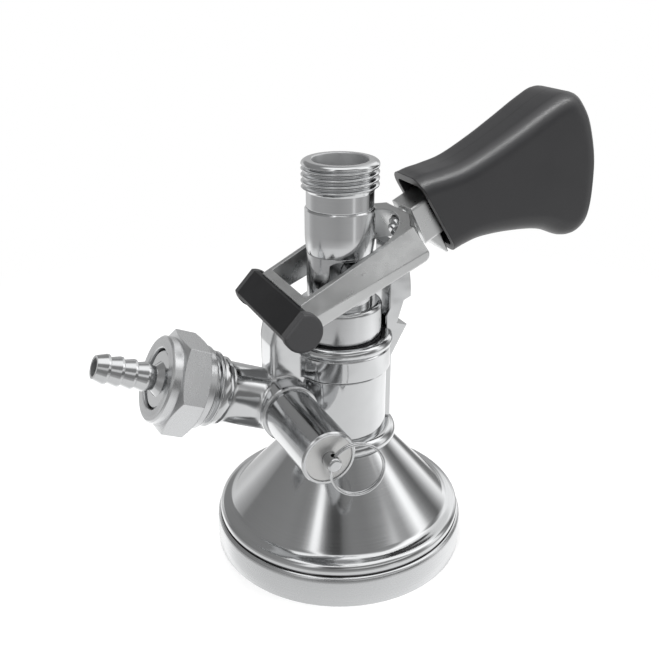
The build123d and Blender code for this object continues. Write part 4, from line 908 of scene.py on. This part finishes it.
# The room round the object, from the floor up. Each band starts to take over from the one
# below at its first height and has done so at its second, both in degrees of the look, and
# its stops are (degrees round from +X, brightness).
ROOM = [
    # the white table that the paper lies on
    (None, None, [
        (-180, 0.93), (-120, 0.97), (-90, 1.02), (-60, 1.1), (-30, 1.2), (0, 1.42), (70, 1.3),
        (92, 1.3), (104, 1.5), (118, 1.5), (132, 1.1), (180, 0.93),
    ]),
    # the table's far edge and the foot of the wall
    (-27, -24.5, [
        (-180, 0.6), (-128, 0.6), (-116, 0.62), (-103, 0.7), (-91, 0.8), (-79, 0.9), (-66, 1.0),
        (-54, 1.1), (-41, 1.25), (-29, 1.35), (-17, 1.45), (-5, 1.4), (7, 1.2), (20, 1.0), (45, 0.9),
        (74, 0.7), (97, 0.9), (110, 1.4), (123, 1.4), (134, 0.9), (145, 0.5), (180, 0.5),
    ]),
    # the lower wall, with a narrow white board in front on the left
    (-23, -19, [
        (-180, 0.5), (-120, 0.44), (-91, 0.5), (-75, 0.56), (-70, 1.0), (-66, 1.0), (-62, 0.62),
        (-42, 0.5), (-30, 0.62), (-18, 0.6), (-8, 0.35), (18, 0.38), (31, 0.28), (43, 0.2), (60, 0.4),
        (74, 0.6), (98, 0.75), (122, 0.85), (135, 0.6), (150, 0.5), (180, 0.5),
    ]),
    # the wall at the object's height, with two bright windows
    (-12, -5, [
        (-180, 0.32), (-150, 0.4), (-130, 0.3), (-100, 0.3), (-70, 0.22), (-47, 0.24), (-36, 0.4),
        (-26, 1.3), (-17, 1.3), (-10, 0.5), (-3, 0.28), (4, 0.18), (11, 0.5), (19, 1.1), (26, 1.5),
        (34, 1.1), (44, 0.5), (62, 0.55), (80, 0.6), (98, 0.85), (108, 0.95), (116, 0.7), (124, 0.5),
        (129, 0.42), (132, 0.28), (180, 0.32),
    ]),
    # the upper wall, windows and black cards
    (15, 21, [
        (-180, 0.34), (-158, 0.4), (-150, 0.8), (-143, 1.3), (-136, 0.7), (-130, 0.3), (-122, 0.2),
        (-112, 0.4), (-98, 0.9), (-60, 1.0), (-52, 0.95), (-45, 0.55), (-37, 0.5), (-30, 1.0),
        (-23, 1.8), (-17, 1.6), (-11, 0.6), (-4, 0.3), (4, 0.35), (12, 0.9), (20, 1.4), (42, 1.4),
        (50, 0.8), (60, 0.75), (68, 0.7), (76, 0.34), (97, 0.34), (126, 0.28), (180, 0.34),
    ]),
    # the slope up to the ceiling: two bright skylights and dark corners
    (33, 37, [
        (-180, 0.34), (-168, 0.32), (-158, 0.36), (-151, 0.7), (-146, 1.7), (-140, 1.6), (-136, 0.6),
        (-130, 0.2), (-123, 0.1), (-114, 0.09), (-109, 0.24), (-100, 0.31), (-80, 0.3), (-62, 0.38),
        (-52, 0.42), (-44, 0.45), (-37, 1.3), (-30, 1.8), (-10, 1.8), (0, 1.3), (20, 1.1), (42, 1.0),
        (58, 0.4), (90, 0.32), (128, 0.3), (180, 0.34),
    ]),
    # a white panel straight overhead lines every rounded upper edge
    (58, 70, [(-180, 1.5), (180, 1.5)]),
]
room = None
for start, end, stops in ROOM:
    band = add(tree, "ShaderNodeValToRGB", None, {"Fac": (share, 0)})
    ramp = band.color_ramp
    ramp.elements[0].color = [stops[0][1]] * 3 + [1]
    ramp.elements[1].color = [stops[-1][1]] * 3 + [1]
    for degrees_round, value in stops[1:-1]:
        ramp.elements.new((degrees_round + 180) / 360).color = [value] * 3 + [1]
    if room is None:
        room = (band, 0)
        continue
    height = add(tree, "ShaderNodeMapRange", {"interpolation_type": "SMOOTHSTEP"}, {
        "Value": (way, "Z"), "From Min": sin(radians(start)), "From Max": sin(radians(end)),
    })
    mixed = add(tree, "ShaderNodeMix", {"data_type": "RGBA"}, {"Factor": (height, 0), 6: room, 7: (band, 0)})
    room = (mixed, 2)
seen = add(tree, "ShaderNodeLightPath")
# steel mirrors the room, everything is lit by an even white, and the background is white
cards = add(tree, "ShaderNodeBackground", None, {"Color": room, "Strength": 1.0})
glow = add(tree, "ShaderNodeBackground", None, {"Color": (1, 1, 1, 1), "Strength": 0.7})
white = add(tree, "ShaderNodeBackground", None, {"Color": (1, 1, 1, 1), "Strength": 1.0})
polished = add(tree, "ShaderNodeMixShader", None, {0: (seen, "Is Glossy Ray"), 1: (glow, 0), 2: (cards, 0)})
bright = add(tree, "ShaderNodeMath", {"operation": "MAXIMUM"}, {
    0: (seen, "Is Camera Ray"), 1: (seen, "Is Transmission Ray"),
})
pick = add(tree, "ShaderNodeMixShader", None, {0: (bright, 0), 1: (polished, 0), 2: (white, 0)})
add(tree, "ShaderNodeOutputWorld", None, {"Surface": (pick, 0)})

LIT_POINT = Vector((0, 0, 0.07))
# three large soft lamps, which polished steel doesn't mirror: place, side and watts
for name, spot, size, power in (
    ("key", (-0.55, -0.55, 0.75), 0.5, 5.0),
    ("fill", (0.75, -0.45, 0.45), 0.6, 2.5),
    ("back", (0.2, 0.8, 0.7), 0.6, 3.0),
):
    lamp = bpy.data.lights.new(name, "AREA")
    lamp.size = size
    lamp.energy = power
    held = bpy.data.objects.new(name, lamp)
    held.location = spot
    held.rotation_euler = (LIT_POINT - Vector(spot)).to_track_quat("-Z", "Y").to_euler()
    held.visible_glossy = False
    bpy.context.scene.collection.objects.link(held)

# a strip lamp overhead, for the moulded parts alone, draws the soft line along the grip's edge
STRIP_SPOT = Vector((0.07, -0.3, 0.65))
STRIP_AIM = Vector((0.05, 0, 0.12))
strip = bpy.data.lights.new("strip", "AREA")
strip.shape = "RECTANGLE"
strip.size = 0.6
strip.size_y = 0.1
strip.energy = 4.0
held = bpy.data.objects.new("strip", strip)
held.location = STRIP_SPOT
held.rotation_euler = (STRIP_AIM - STRIP_SPOT).to_track_quat("-Z", "Y").to_euler()
bpy.context.scene.collection.objects.link(held)
moulded_parts = bpy.data.collections.new("moulded_parts")
moulded_parts.objects.link(grip)
moulded_parts.objects.link(nodes["lever_cap"])
held.light_linking.receiver_collection = moulded_parts

# the camera stands in front on the left and looks down on the coupler
CAMERA_TILT = radians(90 - 23.84)
CAMERA_TURN = -radians(25.07)
eye = bpy.data.cameras.new("camera")
eye.lens = 47.1
eye.sensor_width = 36.0
eye.clip_start = 0.01
camera = bpy.data.objects.new("camera", eye)
camera.location = (-0.1067, -0.2208, 0.1821)
camera.rotation_euler = (CAMERA_TILT, 0, CAMERA_TURN)
bpy.context.scene.collection.objects.link(camera)
bpy.context.scene.camera = camera
bpy.context.scene.view_settings.view_transform = "Standard"
